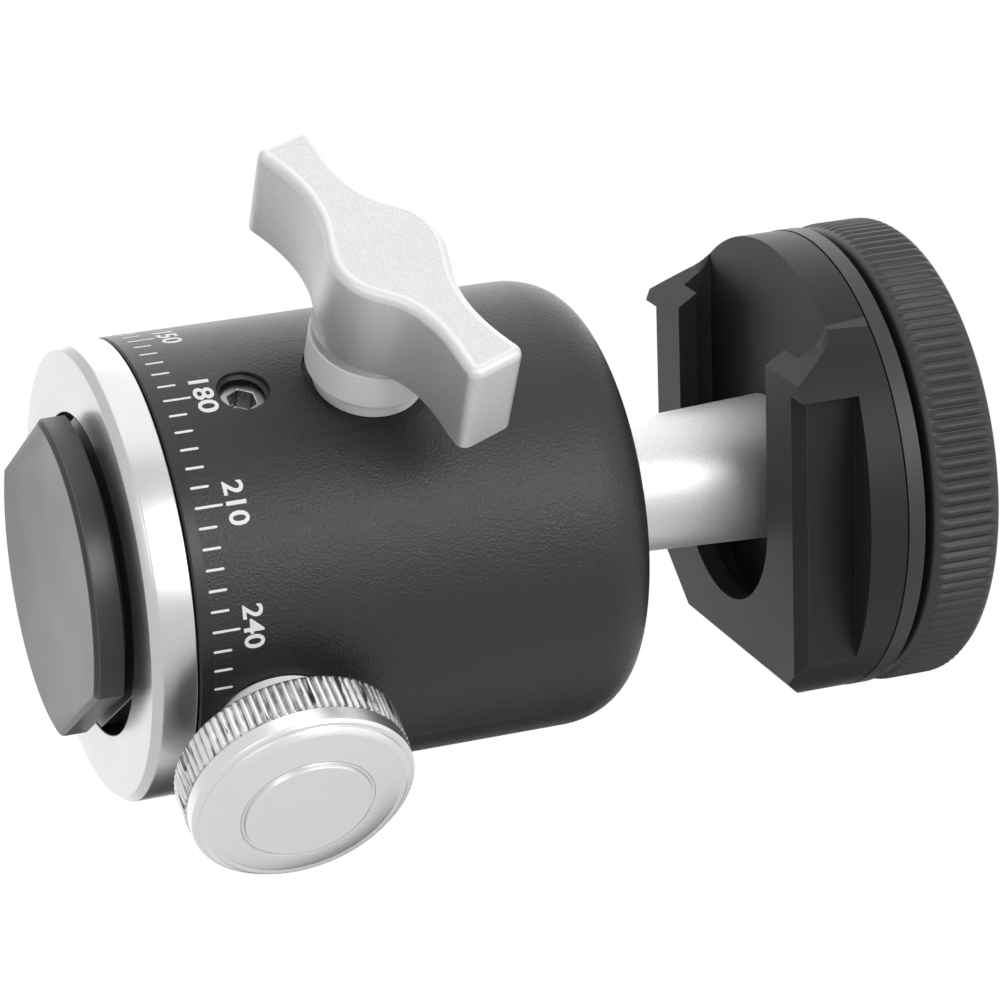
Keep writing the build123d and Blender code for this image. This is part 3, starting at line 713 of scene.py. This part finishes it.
def tile_mesh(low, high, width):
    """A painted bar on +X, along Z, with round ends, lying on the housing."""
    half = width / 2
    outline = []
    for middle, start in ((high - half, 0), (low + half, pi)):
        for step in range(ROUND_STEPS + 1):
            turn = start + pi * step / ROUND_STEPS
            outline.append((half * cos(turn) / HOUSING_R, middle + half * sin(turn)))
    shape = bmesh.new()
    shells = []
    for reach in (HOUSING_R - PAINT_UP, HOUSING_R + PAINT_UP):
        shells.append([shape.verts.new((reach * cos(a), reach * sin(a), h)) for a, h in outline])
    inner, outer = shells
    shape.faces.new(outer)
    shape.faces.new(inner[::-1])
    bridge(shape, inner, outer)
    return as_mesh(shape, "tile")


print("housing radius", round(HOUSING_R / MM, 2))

# %% Ticks
TICK_LOW = HOUSING_LOW * MM + 1.08 * MM
TICK_HIGH = TICK_LOW + 1.45 * MM
TICK_LONG = TICK_LOW + 2.2 * MM
TICK_WIDTH = 0.2 * MM
TICK_STEP = 5
LONG_STEP = 30
SEAT_ANGLE = 15  # the scale starts and ends this far from the middle of the knob's seat
short_count = (360 - 2 * SEAT_ANGLE) // TICK_STEP + 1
ticks = repeated(
    "scale_ticks",
    tile_mesh(TICK_LOW, TICK_HIGH, TICK_WIDTH),
    short_count,
    radians(TICK_STEP),
    radians(SEAT_ANGLE),
    PAINT,
)
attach(ticks, "housing_body")
long_count = 360 // LONG_STEP - 1
long_ticks = repeated(
    "scale_long_ticks",
    tile_mesh(TICK_HIGH - TICK_WIDTH, TICK_LONG, TICK_WIDTH * 0.96),
    long_count,
    radians(LONG_STEP),
    radians(LONG_STEP),
    PAINT,
)
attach(long_ticks, "housing_body")
print("ticks", short_count, "long ticks", long_count)

# %% [markdown]
# ## Numbers wrapped round a cylinder
# The scale has a number at each long tick. Text starts flat, and a Curve modifier could bend it, but
# a formula is shorter: made a mesh with thin faces, each of its points trades its distance along the
# line for an angle, and the line wraps round the housing.

# %% Numbers
DIGIT_LOW = TICK_LONG + 0.22 * MM
DIGIT_HEIGHT = 1.62 * MM
DIGIT_WIDTH = 1.2 * MM  # for each digit, with its gap
DIGIT_GAP = 0.12 * MM


def number_mesh(text):
    """Flat text as a mesh, centred on the origin, one digit height tall, its baseline at zero."""
    curve = bpy.data.curves.new("number", "FONT")
    curve.body = text
    curve.align_x = "CENTER"
    curve.resolution_u = 3
    curve.extrude = 0.02
    curve.offset = 0.02
    holder = new_piece("number_line", curve)
    mesh = plain_mesh(holder)
    bpy.data.objects.remove(holder)
    across = [v.co.x for v in mesh.vertices]
    up = [v.co.y for v in mesh.vertices]
    width = max(across) - min(across)
    middle = (max(across) + min(across)) / 2
    for v in mesh.vertices:
        v.co.x = (v.co.x - middle) / width * (len(text) * DIGIT_WIDTH - DIGIT_GAP)
        v.co.y = (v.co.y - min(up)) / (max(up) - min(up)) * DIGIT_HEIGHT
    return mesh


def wrapped(mesh, angle, low):
    """Bend a flat mesh round the housing: x becomes an angle, y a height, z a lift off the wall."""
    for v in mesh.vertices:
        reach = HOUSING_R + (PAINT_UP if v.co.z > 0 else -PAINT_UP)
        turn = angle + v.co.x / HOUSING_R
        v.co = (reach * cos(turn), reach * sin(turn), low + v.co.y)
    return mesh


ZERO_ANGLE = 90  # the scale's zero lies opposite the lever
numbers = bmesh.new()
for degree in range(0, 360, LONG_STEP):
    angle = degree + ZERO_ANGLE
    if abs((angle + 180) % 360 - 180) >= SEAT_ANGLE:
        numbers.from_mesh(wrapped(number_mesh(str(degree)), radians(angle), DIGIT_LOW))
bmesh.ops.remove_doubles(numbers, verts=numbers.verts, dist=WELD / 2)
scale_numbers = new_piece("scale_numbers", as_mesh(numbers, "scale_numbers"))
scale_numbers.data.materials.append(PAINT)
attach(scale_numbers, "housing_body")
print("numbers from", round(DIGIT_LOW / MM, 2), "to", round((DIGIT_LOW + DIGIT_HEIGHT) / MM, 2))

# %% [markdown]
# ## The grub screw in its threaded hole
# Looking into a threaded hole you see its crests as bright curved lines. A bump map can't give them
# an outline, so a spring-like ridge is wound along the hole's wall. The camera screw uses it too.

# %% Wound thread
THREAD_HALF = 0.36  # half the ridge's width, as a share of the pitch
THREAD = ((0.0, -THREAD_HALF), (0.85, -0.1), (1.0, 0.0), (0.85, 0.1), (0.0, THREAD_HALF))
THREAD_ROOM = 0.7
FADE_STEPS = 8  # the ridge rises and sinks over this many steps


def wound(radius, crest, pitch, low, high, per_turn=40):
    """A helical ridge on a cylinder about Z: `crest` is its height, negative on a hole's wall."""
    turns = (high - low - pitch * THREAD_ROOM) / pitch
    count = int(turns * per_turn)
    shape = bmesh.new()
    rows = []
    for step in range(count + 1):
        angle = 2 * pi * step / per_turn
        base = low + pitch * THREAD_HALF + pitch * step / per_turn
        fade = min(1.0, step / FADE_STEPS, (count - step) / FADE_STEPS)
        row = []
        for out, along in THREAD:
            reach = radius + crest * out * fade
            row.append(shape.verts.new((reach * cos(angle), reach * sin(angle), base + along * pitch)))
        rows.append(row)
    for here, there in zip(rows, rows[1:]):
        bridge(shape, here, there)
    shape.faces.new(rows[0])
    shape.faces.new(rows[-1])
    mesh = as_mesh(shape, "thread")
    shade(mesh)
    return mesh


print("points across a thread", len(THREAD))

# %% Grub hole
GRUB_LOW, GRUB_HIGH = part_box("retaining_grub")
GRUB_Z = (GRUB_LOW.z + GRUB_HIGH.z) / 2
GRUB_OUT = -GRUB_LOW.y
GRUB_HOLE_R = 2.05 * MM
GRUB_PITCH = 0.5 * MM
THREAD_DEEP = 0.3 * MM
machined("retaining_grub", 0.08 * MM, look=GRUB_LOOK)
thread = wound(GRUB_HOLE_R, -THREAD_DEEP, GRUB_PITCH, 0.0, HOUSING_R - GRUB_OUT - 0.1 * MM)
to_hole = Matrix.Translation((0, -GRUB_OUT - 0.05 * MM, GRUB_Z))
thread.transform(to_hole @ Matrix.Rotation(radians(90), 4, "X"))
thread.materials.append(LOOKS["black_coat"])
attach(new_piece("grub_hole_thread", thread), "housing_body")
print("grub at height", round(GRUB_Z / MM, 2), "its end", round((HOUSING_R - GRUB_OUT) / MM, 2), "deep")

# %% [markdown]
# ## The lever and its collar
# The lever is the one sculpted piece: a bar with two long S curves, rounded tips and soft bevels. A
# Bevel modifier breaks up on edges that curve this much. So the CAD outline is cut at mid height,
# laid out as evenly spaced points, and lifted in rings, each a little further in. The bevel is then
# a row of clean faces that catches one thin bright line. Its faces are also painted brighter: wear,
# and a painted highlight.

# %% Outline of a piece
OUTLINE_POINTS = 420


def cut_line(node, y):
    """The outline of a CAD node where a plane of constant y cuts it, as (x, z) points."""
    shape = welded(node)
    everything = [*shape.verts, *shape.edges, *shape.faces]
    cut = bmesh.ops.bisect_plane(shape, geom=everything, plane_co=(0, y, 0), plane_no=(0, 1, 0))
    beside = {}
    for edge in cut["geom_cut"]:
        if isinstance(edge, bmesh.types.BMEdge):
            for end in edge.verts:
                beside.setdefault(end, []).append(edge.other_vert(end))
    start = max(beside, key=lambda corner: corner.co.x)
    loop = [start]
    before, here = start, beside[start][0]
    while here is not start:
        loop.append(here)
        before, here = here, next(corner for corner in beside[here] if corner is not before)
    line = [Vector((corner.co.x, corner.co.z)) for corner in loop]
    shape.free()
    return line


def evenly(line, count):
    """`count` evenly spaced points along a closed line, turning from x to z."""
    closed = [*line, line[0]]
    lengths = [(b - a).length for a, b in zip(closed, closed[1:])]
    step = sum(lengths) / count
    even = []
    gone = 0.0
    for a, b, length in zip(closed, closed[1:], lengths):
        while len(even) * step < gone + length and len(even) < count:
            even.append(a + (b - a) * ((len(even) * step - gone) / length))
        gone += length
    area = sum(a.cross(b) for a, b in zip(even, even[1:] + even[:1]))
    return even if area > 0 else even[::-1]


def inward_of(outline):
    """The direction into the piece at each point of an outline."""
    count = len(outline)
    ways = (outline[(here + 2) % count] - outline[here - 2] for here in range(count))
    return [Vector((-way.y, way.x)).normalized() for way in ways]


print("points on the outline", OUTLINE_POINTS)

# %% Lever
LEVER_LOW, LEVER_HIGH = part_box("lock_lever")
LEVER_AXIS_Z = (LEVER_LOW.z + LEVER_HIGH.z) / 2
WING_OUT = -LEVER_LOW.y
WING_IN = WING_OUT - 7.85 * MM
BEVEL_DEEP = 0.9 * MM
BEVEL_INSET = 0.72 * MM
BEVEL_STEPS = 8
BOSS_IN = -LEVER_HIGH.y
BOSS_R = 4.93 * MM
BOSS_EDGE = 0.08 * MM
BOSS_TURNS = 96
INSERT_BORE = 3.72 * MM
INSERT_DEPTH = 26.02 * MM
BRIGHT_BEVEL_AREA = 0.2 * MM * MM


def wing_profile():
    """(inset, distance out along -Y) of the wing's rings, from its inner face to its outer one."""
    inner = [(0.30 * MM, WING_IN), (0.12 * MM, WING_IN)]
    inner += [(0.03 * MM, WING_IN + 0.05 * MM), (0, WING_IN + 0.15 * MM)]
    bevel = []
    for step in range(BEVEL_STEPS + 1):
        t = step / BEVEL_STEPS
        bevel.append((BEVEL_INSET * t * t, WING_OUT - BEVEL_DEEP * (1 - t) ** 2))
    return [*inner, *bevel, (BEVEL_INSET + 0.04 * MM, WING_OUT)]


def ringed(shape, rings):
    """Join rings of points into a wall with a lid on the last, and return the first ring's corners."""
    corners = [[shape.verts.new(point) for point in ring] for ring in rings]
    for low, high in zip(corners, corners[1:]):
        bridge(shape, low, high)
    shape.faces.new(corners[-1])
    return corners[0]


def lever_mesh():
    """The wing with rounded bevels, its short round boss and the bore of the insert."""
    outline = evenly(cut_line("lock_lever", -(WING_IN + WING_OUT) / 2), OUTLINE_POINTS)
    inward = inward_of(outline)
    wing = []
    for inset, out in wing_profile():
        points = [at + lean * inset for at, lean in zip(outline, inward)]
        wing.append([(at.x, -out, at.y) for at in points])
    boss = []
    turns = [2 * pi * step / BOSS_TURNS for step in range(BOSS_TURNS)]
    sides = [(BOSS_R, WING_IN), (BOSS_R, BOSS_IN + BOSS_EDGE), (BOSS_R - BOSS_EDGE, BOSS_IN)]
    for radius, out in [*sides, (INSERT_BORE, BOSS_IN), (INSERT_BORE, INSERT_DEPTH)]:
        boss.append([(radius * cos(a), -out, LEVER_AXIS_Z + radius * sin(a)) for a in turns])
    shape = bmesh.new()
    seam = []
    for ring in (ringed(shape, wing), ringed(shape, boss)):
        seam += [shape.edges.get(ends) for ends in zip(ring, ring[1:] + ring[:1])]
    bmesh.ops.triangle_fill(shape, use_beauty=True, use_dissolve=False, edges=seam)
    mesh = as_mesh(shape, "lock_lever")
    shade(mesh)
    bevel_from = -(WING_OUT - 0.75 * MM)
    # The small faces of the outer bevel are marked to be painted brighter: a painted highlight, with
    # some wear.
    mark_wear(mesh, [face.center.y < bevel_from and face.area < BRIGHT_BEVEL_AREA for face in mesh.polygons])
    return mesh


adopt(new_piece("lock_lever_finish", lever_mesh()), "lock_lever")
machined("lever_insert", 0.05 * MM)
machined("lever_washer", 0.12 * MM)
machined("lever_screw", 0.05 * MM)
print("lever from", round(BOSS_IN / MM, 2), "to", round(WING_OUT / MM, 2), "mm out")

# %% [markdown]
# ## The pan knob
# The knob has a turned face with a sunken ring, a plain lip and a straight knurl. Its profile is spun
# like the ring's, then laid on its side, and the knurl is a repeated rib. Cutting the ribs out of the
# knob with a Boolean would be slow and leave slivers, so they lie on it.

# %% Knob profile
KNOB_R = KNOB_RADIUS / MM
KNOB_FRONT = KNOB_HIGH.x / MM
KNOB_NECK_IN = KNOB_LOW.x / MM
KNOB_BACK = KNOB_FRONT - 5.9
KNURL_HIGH = KNOB_FRONT - 2.6
KNURL_ROOT = KNOB_R - 0.2
KNOB_BORE = 24.0
KNOB_BORE_R = 2.47
KNOB_NECK_R = 4.6
LIP_R = KNOB_R - 0.62
FACE_OUT = KNOB_FRONT - 0.28
GROOVE_FLOOR = KNOB_FRONT - 0.42


def knob_side(x, y, height):
    """The knob's axis runs along X at its own height."""
    return Vector((height, x, y + KNOB_CENTRE_Z))


turned(
    "pan_knob",
    [
        (0, KNOB_BORE),
        (KNOB_BORE_R, KNOB_BORE),
        (KNOB_BORE_R, KNOB_NECK_IN),
        (KNOB_NECK_R, KNOB_NECK_IN),
        (KNOB_NECK_R, KNOB_BACK),
        (KNURL_ROOT - 0.25, KNOB_BACK),
        (KNURL_ROOT, KNOB_BACK + 0.3),
        (KNURL_ROOT, KNURL_HIGH - 0.15),
        (KNURL_ROOT + 0.06, KNURL_HIGH),
        (KNOB_R - 0.15, KNURL_HIGH + 0.1),
        (KNOB_R - 0.17, KNOB_FRONT - 1.45),
        (KNOB_R - 0.4, KNOB_FRONT - 1.2),
        (LIP_R, KNOB_FRONT - 1.18),
        (LIP_R, KNOB_FRONT - 1.02),
        (KNOB_R - 1.1, KNOB_FRONT - 0.62),
        (KNOB_R - 1.6, KNOB_FRONT - 0.6),
        (KNOB_R - 1.66, KNOB_FRONT - 0.57),
        (5.3, FACE_OUT),
        (5.22, GROOVE_FLOOR),
        (5.03, GROOVE_FLOOR),
        (4.92, KNOB_FRONT - 0.02),
        (4.8, KNOB_FRONT),
        (0, KNOB_FRONT),
    ],
    edge=0.07 * MM,
    place=knob_side,
    look=KNOB_LOOK,
)
print("knob radius", round(KNOB_R, 2), "from", round(KNOB_NECK_IN, 2), "to", round(KNOB_FRONT, 2))

# %% Knob knurl
KNOB_RIBS = 84
Z_TO_X = Matrix(((0, 0, 1, 0), (1, 0, 0, 0), (0, 1, 0, 0), (0, 0, 0, 1)))
rib = rib_mesh(
    low=KNOB_BACK * MM + 0.15 * MM,
    high=KNURL_HIGH * MM,
    count=KNOB_RIBS,
    root=KNURL_ROOT * MM - 0.02 * MM,
    crest=KNOB_R * MM,
    margin=0.3 * MM,
)
to_knob = Matrix.Translation((0, 0, KNOB_CENTRE_Z)) @ Z_TO_X
knurl = repeated("knob_knurl", rib, KNOB_RIBS, 2 * pi / KNOB_RIBS, 0.0, KNOB_LOOK, to_knob)
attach(knurl, "knob_body")
machined("pan_washer", 0.08 * MM)
print("ribs on the knob", KNOB_RIBS)

# %% [markdown]
# ## Ball, stem and platform
# The ball is ground steel and keeps its CAD shape. The stem is a plain tapered bar, blasted like the
# lever. Its foot is hollowed to sit on the ball: the first four points of its profile follow the
# ball a hair's breadth above it. The block is milled, and keeps its CAD shape with small rounded
# edges.

# %% Ball, stem, block and plate
machined("ball", 0)
STEM_TOP = top_of("stem") / MM
STEM_SEAT = STEM_TOP - 1.6
STEM_FOOT_R = 5.07
STEM_FOOT = 42.0
SPIGOT_R = 4.0
STEM_BORE_R = 2.55
STEM_BORE = 49.7
turned(
    "stem",
    [
        (0, 42.75),
        (2.5, 42.49),
        (4.0, 42.08),
        (STEM_FOOT_R, 41.66),
        (STEM_FOOT_R, STEM_FOOT),
        (radius_of("stem") / MM, STEM_SEAT),
        (SPIGOT_R, STEM_SEAT),
        (SPIGOT_R, STEM_TOP),
        (STEM_BORE_R, STEM_TOP),
        (STEM_BORE_R, STEM_BORE + 0.05),
        (0, STEM_BORE),
    ],
    segments=128,
    look=STEM_LOOK,
)
machined("coupler_block", 0.14 * MM)
machined("top_plate", 0.1 * MM, look=WHEEL_LOOK)
machined("wheel_washer", 0.05 * MM)
print("stem from", STEM_FOOT, "to", round(STEM_TOP, 2))

# %% [markdown]
# ## The lock wheel
# A matte black disc with a knurled rim. The rim bulges between two smooth margins, and the ribs fade
# into them. Its upper and lower edges are the same, so the rim's points are written once and
# mirrored.

# %% Wheel
WHEEL_LOW, WHEEL_HIGH = (corner.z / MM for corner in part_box("lock_wheel"))
WHEEL_R = radius_of("lock_wheel") / MM
WHEEL_ROOT = WHEEL_R - 0.28
WHEEL_BORE_R = 5.02
WASHER_R = 9.05
WASHER_UP = WHEEL_LOW + 0.2
PAD_OUT_R = 16.52
PAD_IN_R = 7.48
PAD_FLOOR = WHEEL_HIGH - 0.9
RIM = [(WHEEL_R - 1.1, 0.0), (WHEEL_R - 0.5, 0.12), (WHEEL_ROOT + 0.02, 0.62), (WHEEL_ROOT, 1.0)]
turned(
    "lock_wheel",
    [
        (WHEEL_BORE_R, WASHER_UP),
        (WASHER_R, WASHER_UP),
        (WASHER_R, WHEEL_LOW),
        *[(radius, WHEEL_LOW + up) for radius, up in RIM],
        *[(radius, WHEEL_HIGH - down) for radius, down in reversed(RIM)],
        (PAD_OUT_R, WHEEL_HIGH),
        (PAD_OUT_R, PAD_FLOOR),
        (PAD_IN_R, PAD_FLOOR),
        (PAD_IN_R, WHEEL_HIGH),
        (WHEEL_BORE_R, WHEEL_HIGH),
    ],
    edge=0.25 * MM,
    look=WHEEL_LOOK,
)
WHEEL_RIBS = 120
rib = rib_mesh(
    low=(WHEEL_LOW + 0.55) * MM,
    high=(WHEEL_HIGH - 0.45) * MM,
    count=WHEEL_RIBS,
    root=(WHEEL_ROOT - 0.03) * MM,
    crest=WHEEL_R * MM,
    margin=0.7 * MM,
)
knurl = repeated("wheel_knurl", rib, WHEEL_RIBS, 2 * pi / WHEEL_RIBS, 0.0, WHEEL_LOOK)
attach(knurl, "wheel_body")
machined("wheel_bush", 0.08 * MM)
machined("wheel_pad", 0.15 * MM)
print("wheel radius", round(WHEEL_R, 2), "ribs", WHEEL_RIBS)

# %% [markdown]
# ## The camera screw
# A quarter-inch screw has twenty threads to the inch. Its core is spun, and the thread is the same
# wound ridge that the grub's hole has, this time standing outward.

# %% Camera screw
INCH = 25.4 * MM
STUD_TOP = top_of("camera_stud") / MM
STUD_R = 3.175
STUD_CORE = 2.58
SHANK_R = 2.5
SHANK_LOW = 49.7
COLLAR_R = 6.0
COLLAR_LOW = 62.85
COLLAR_TOP = 64.5
PLATE_TOP = top_of("top_plate") / MM
turned(
    "camera_stud",
    [
        (0, SHANK_LOW),
        (SHANK_R, SHANK_LOW),
        (SHANK_R, COLLAR_LOW),
        (COLLAR_R, COLLAR_LOW),
        (COLLAR_R, COLLAR_TOP),
        (STUD_CORE, COLLAR_TOP),
        (STUD_CORE, STUD_TOP - 0.45),
        (STUD_CORE - 0.5, STUD_TOP),
        (0, STUD_TOP),
    ],
    segments=96,
)
thread = wound(
    radius=STUD_CORE * MM,
    crest=(STUD_R - STUD_CORE) * MM,
    pitch=INCH / 20,
    low=PLATE_TOP * MM,
    high=(STUD_TOP - 0.4) * MM,
    per_turn=60,
)
thread.materials.append(LOOKS["steel"])
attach(new_piece("camera_stud_thread", thread), "platform_body")
print("camera screw to", round(STUD_TOP, 2), "with", len(thread.polygons), "faces of thread")

# %% [markdown]
# ## What stays as the CAD gave it
# Pieces deep inside keep their CAD shape and only take a finish.

# %% Inner pieces
for node, piece in NODES.items():
    if piece.hide_render:
        continue
    piece.data.materials.clear()
    piece.data.materials.append(LOOKS[SLOT_OF[node]])
    print("kept as it is:", node)

# %% [markdown]
# ## Camera
# The camera looks up at the head from a little below its foot. Angles could turn it, but three
# vectors are easier to read: where right, up and back are. The lamps are placed along the same three.

# %% Camera
CAMERA_AT = Vector((0.2102026, -0.2403444, -0.0722891))
RIGHT = Vector((0.3309993, -0.1368633, 0.9336530))
UP = Vector((-0.7079945, -0.6901407, 0.1498317))
BACK = RIGHT.cross(UP)
SENSOR = 36.0
LENS = 151.548

camera = bpy.data.objects.new("camera", bpy.data.cameras.new("camera"))
camera.data.sensor_width = SENSOR
camera.data.lens = LENS
camera.data.clip_start = 0.01
camera.data.clip_end = 10.0
axes = Matrix((RIGHT, UP, BACK)).transposed()
camera.matrix_world = Matrix.Translation(CAMERA_AT) @ axes.to_4x4()
bpy.context.scene.collection.objects.link(camera)
bpy.context.scene.camera = camera
print("camera at", [round(v / MM) for v in CAMERA_AT], "mm, lens", LENS)

# %% [markdown]
# ## Lights
# A studio lights small metal parts with large soft boxes: the soft edge of each box becomes the
# gradient that shows a cylinder is round. Small lamps would give hard white spots instead. The key
# light is the smallest, so it draws the brightest line.

# %% Lights
MIDDLE = Vector((0, 0, 36 * MM))


def soft_light(name, right, up, back, size, power):
    """A square softbox, placed from the middle of the head along the camera's own directions."""
    lamp = bpy.data.lights.new(name, "AREA")
    lamp.size = size
    lamp.energy = power
    holder = bpy.data.objects.new(name, lamp)
    offset = RIGHT * right + UP * up + BACK * back
    holder.location = MIDDLE + offset
    holder.rotation_mode = "QUATERNION"
    holder.rotation_quaternion = offset.to_track_quat("Z", "Y")
    bpy.context.scene.collection.objects.link(holder)
    print("lamp", name, "of", power, "W at", round(offset.length, 2), "m")


soft_light("top", right=0.0, up=0.86, back=0.1, size=0.9, power=2.0)
soft_light("top_back", right=0.0, up=0.56, back=-0.7, size=0.9, power=3.0)
soft_light("key", right=0.46, up=0.16, back=0.63, size=0.36, power=3.0)
soft_light("front", right=-0.31, up=0.1, back=0.73, size=0.4, power=0.7)
soft_light("left_back", right=-0.55, up=-0.1, back=-0.7, size=0.8, power=0.85)
soft_light("right", right=0.85, up=0.15, back=0.2, size=0.8, power=0.9)

# %% [markdown]
# ## World
# The head lies in a white studio. A white world alone would also flood it with flat light. A Light
# Path node tells the rays apart: the camera, mirrors and glass see plain white, and every other ray
# gathers a dimmer, slightly blue light that fills the shadows.

# %% World
def blend(wiring, share, first, second):
    """A surface, or a sky, between two others."""
    return wiring.node("ShaderNodeMixShader", {0: share, 1: first, 2: second})


SEEN_WHITE = {"Color": (1, 1, 1, 1), "Strength": 1.0}
FILL_LIGHT = {"Color": (0.95, 0.97, 1.0, 1), "Strength": 0.4}
world = bpy.data.worlds.new("studio")
bpy.context.scene.world = world
world.use_nodes = True
world.node_tree.nodes.clear()
sky = Wiring(world.node_tree)
seen = sky.node("ShaderNodeBackground", SEEN_WHITE)
fill = sky.node("ShaderNodeBackground", FILL_LIGHT)
sharp_ray = sky.node("ShaderNodeLightPath", out="Is Camera Ray")
for ray in ("Is Glossy Ray", "Is Transmission Ray"):
    sharp_ray = sharp_ray.math("MAXIMUM", sky.node("ShaderNodeLightPath", out=ray))
sky.node("ShaderNodeOutputWorld", {"Surface": blend(sky, sharp_ray, fill, seen)})
print("fill light", FILL_LIGHT["Strength"])

# %% [markdown]
# ## Floor
# The floor takes the head's shadow. It fades to plain white further out, so that no horizon shows,
# and only the camera sees it, from above: it would otherwise hide the head from below and light it
# from underneath.

# %% Floor
FLOOR_HALF = 1.5
FLOOR_Z = -0.3 * MM
FADE_FROM = 0.06
FADE_TO = 0.4
CORNERS = ((-1, -1), (1, -1), (1, 1), (-1, 1))


def square(name, corners):
    """A piece of one face."""
    mesh = bpy.data.meshes.new(name)
    mesh.from_pydata([tuple(corner) for corner in corners], [], [(0, 1, 2, 3)])
    return new_piece(name, mesh)


def show_where(s, seen, surface):
    """Show a surface where `seen` is 1, and nothing elsewhere."""
    clear = s.node("ShaderNodeBsdfTransparent")
    s.plug(s.tree.nodes["Material Output"].inputs["Surface"], blend(s, seen, clear, surface))


floor = square("floor", [(FLOOR_HALF * x, FLOOR_HALF * y, FLOOR_Z) for x, y in CORNERS])
floor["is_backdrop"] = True
pale = Finish("pale_floor")
cloud = pale.noise(pale.place, scale=6.0, detail=2.0)
pale.done(pale.mix(cloud, grey(0.90), grey(0.94)), 0.75 + cloud * 0.1)
fade = pale.span(pale.distance(pale.x, pale.y), FADE_FROM, FADE_TO)
white = pale.node("ShaderNodeEmission")
fading = blend(pale, fade, Value(pale, pale.surface.outputs[0]), white)
above = 1.0 - pale.node("ShaderNodeNewGeometry", out="Backfacing")
show_where(pale, pale.node("ShaderNodeLightPath", out="Is Camera Ray") * above, fading)
floor.data.materials.append(pale.material)
print("floor fades to white from", FADE_FROM, "to", FADE_TO, "m")

# %% [markdown]
# ## Dark card
# Black pieces look grey when everything round them is white. A studio stands a dark card where they
# will mirror it. This one hangs below and behind the head, and shows in reflections only.

# %% Dark card
CARD_HALF = 0.17
CARD_OFFSET = RIGHT * 0.08 + UP * -0.31 + BACK * -0.36
across = CARD_OFFSET.cross(UP).normalized() * CARD_HALF
along = CARD_OFFSET.cross(across).normalized() * CARD_HALF
card = square("dark_card", [MIDDLE + CARD_OFFSET + across * i + along * j for i, j in CORNERS])
card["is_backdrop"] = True
felt = Finish("dark_felt")
cloud = felt.noise(felt.place, scale=40.0, detail=2.0)
felt.done(felt.mix(cloud, grey(0.02), grey(0.04)), 0.8 + cloud * 0.1)
mirrored = felt.node("ShaderNodeLightPath", out="Is Glossy Ray")
show_where(felt, mirrored, Value(felt, felt.surface.outputs[0]))
card.data.materials.append(felt.material)
print("card at", round(CARD_OFFSET.length, 2), "m")

# %% [markdown]
# ## Colours and sizes
# The Standard view shows each colour as it is written, where a film-like view would soften the
# whites. The box of the whole model is measured again, and how far dressing it has made it grow is
# printed.

# %% Look and sizes
bpy.context.scene.view_settings.view_transform = "Standard"
BOX_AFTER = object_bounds()
grown = zip((*BOX_AFTER[0], *BOX_AFTER[1]), (*BOX_BEFORE[0], *BOX_BEFORE[1]))
print("grew by mm", [round((after - before) / MM, 3) for after, before in grown])
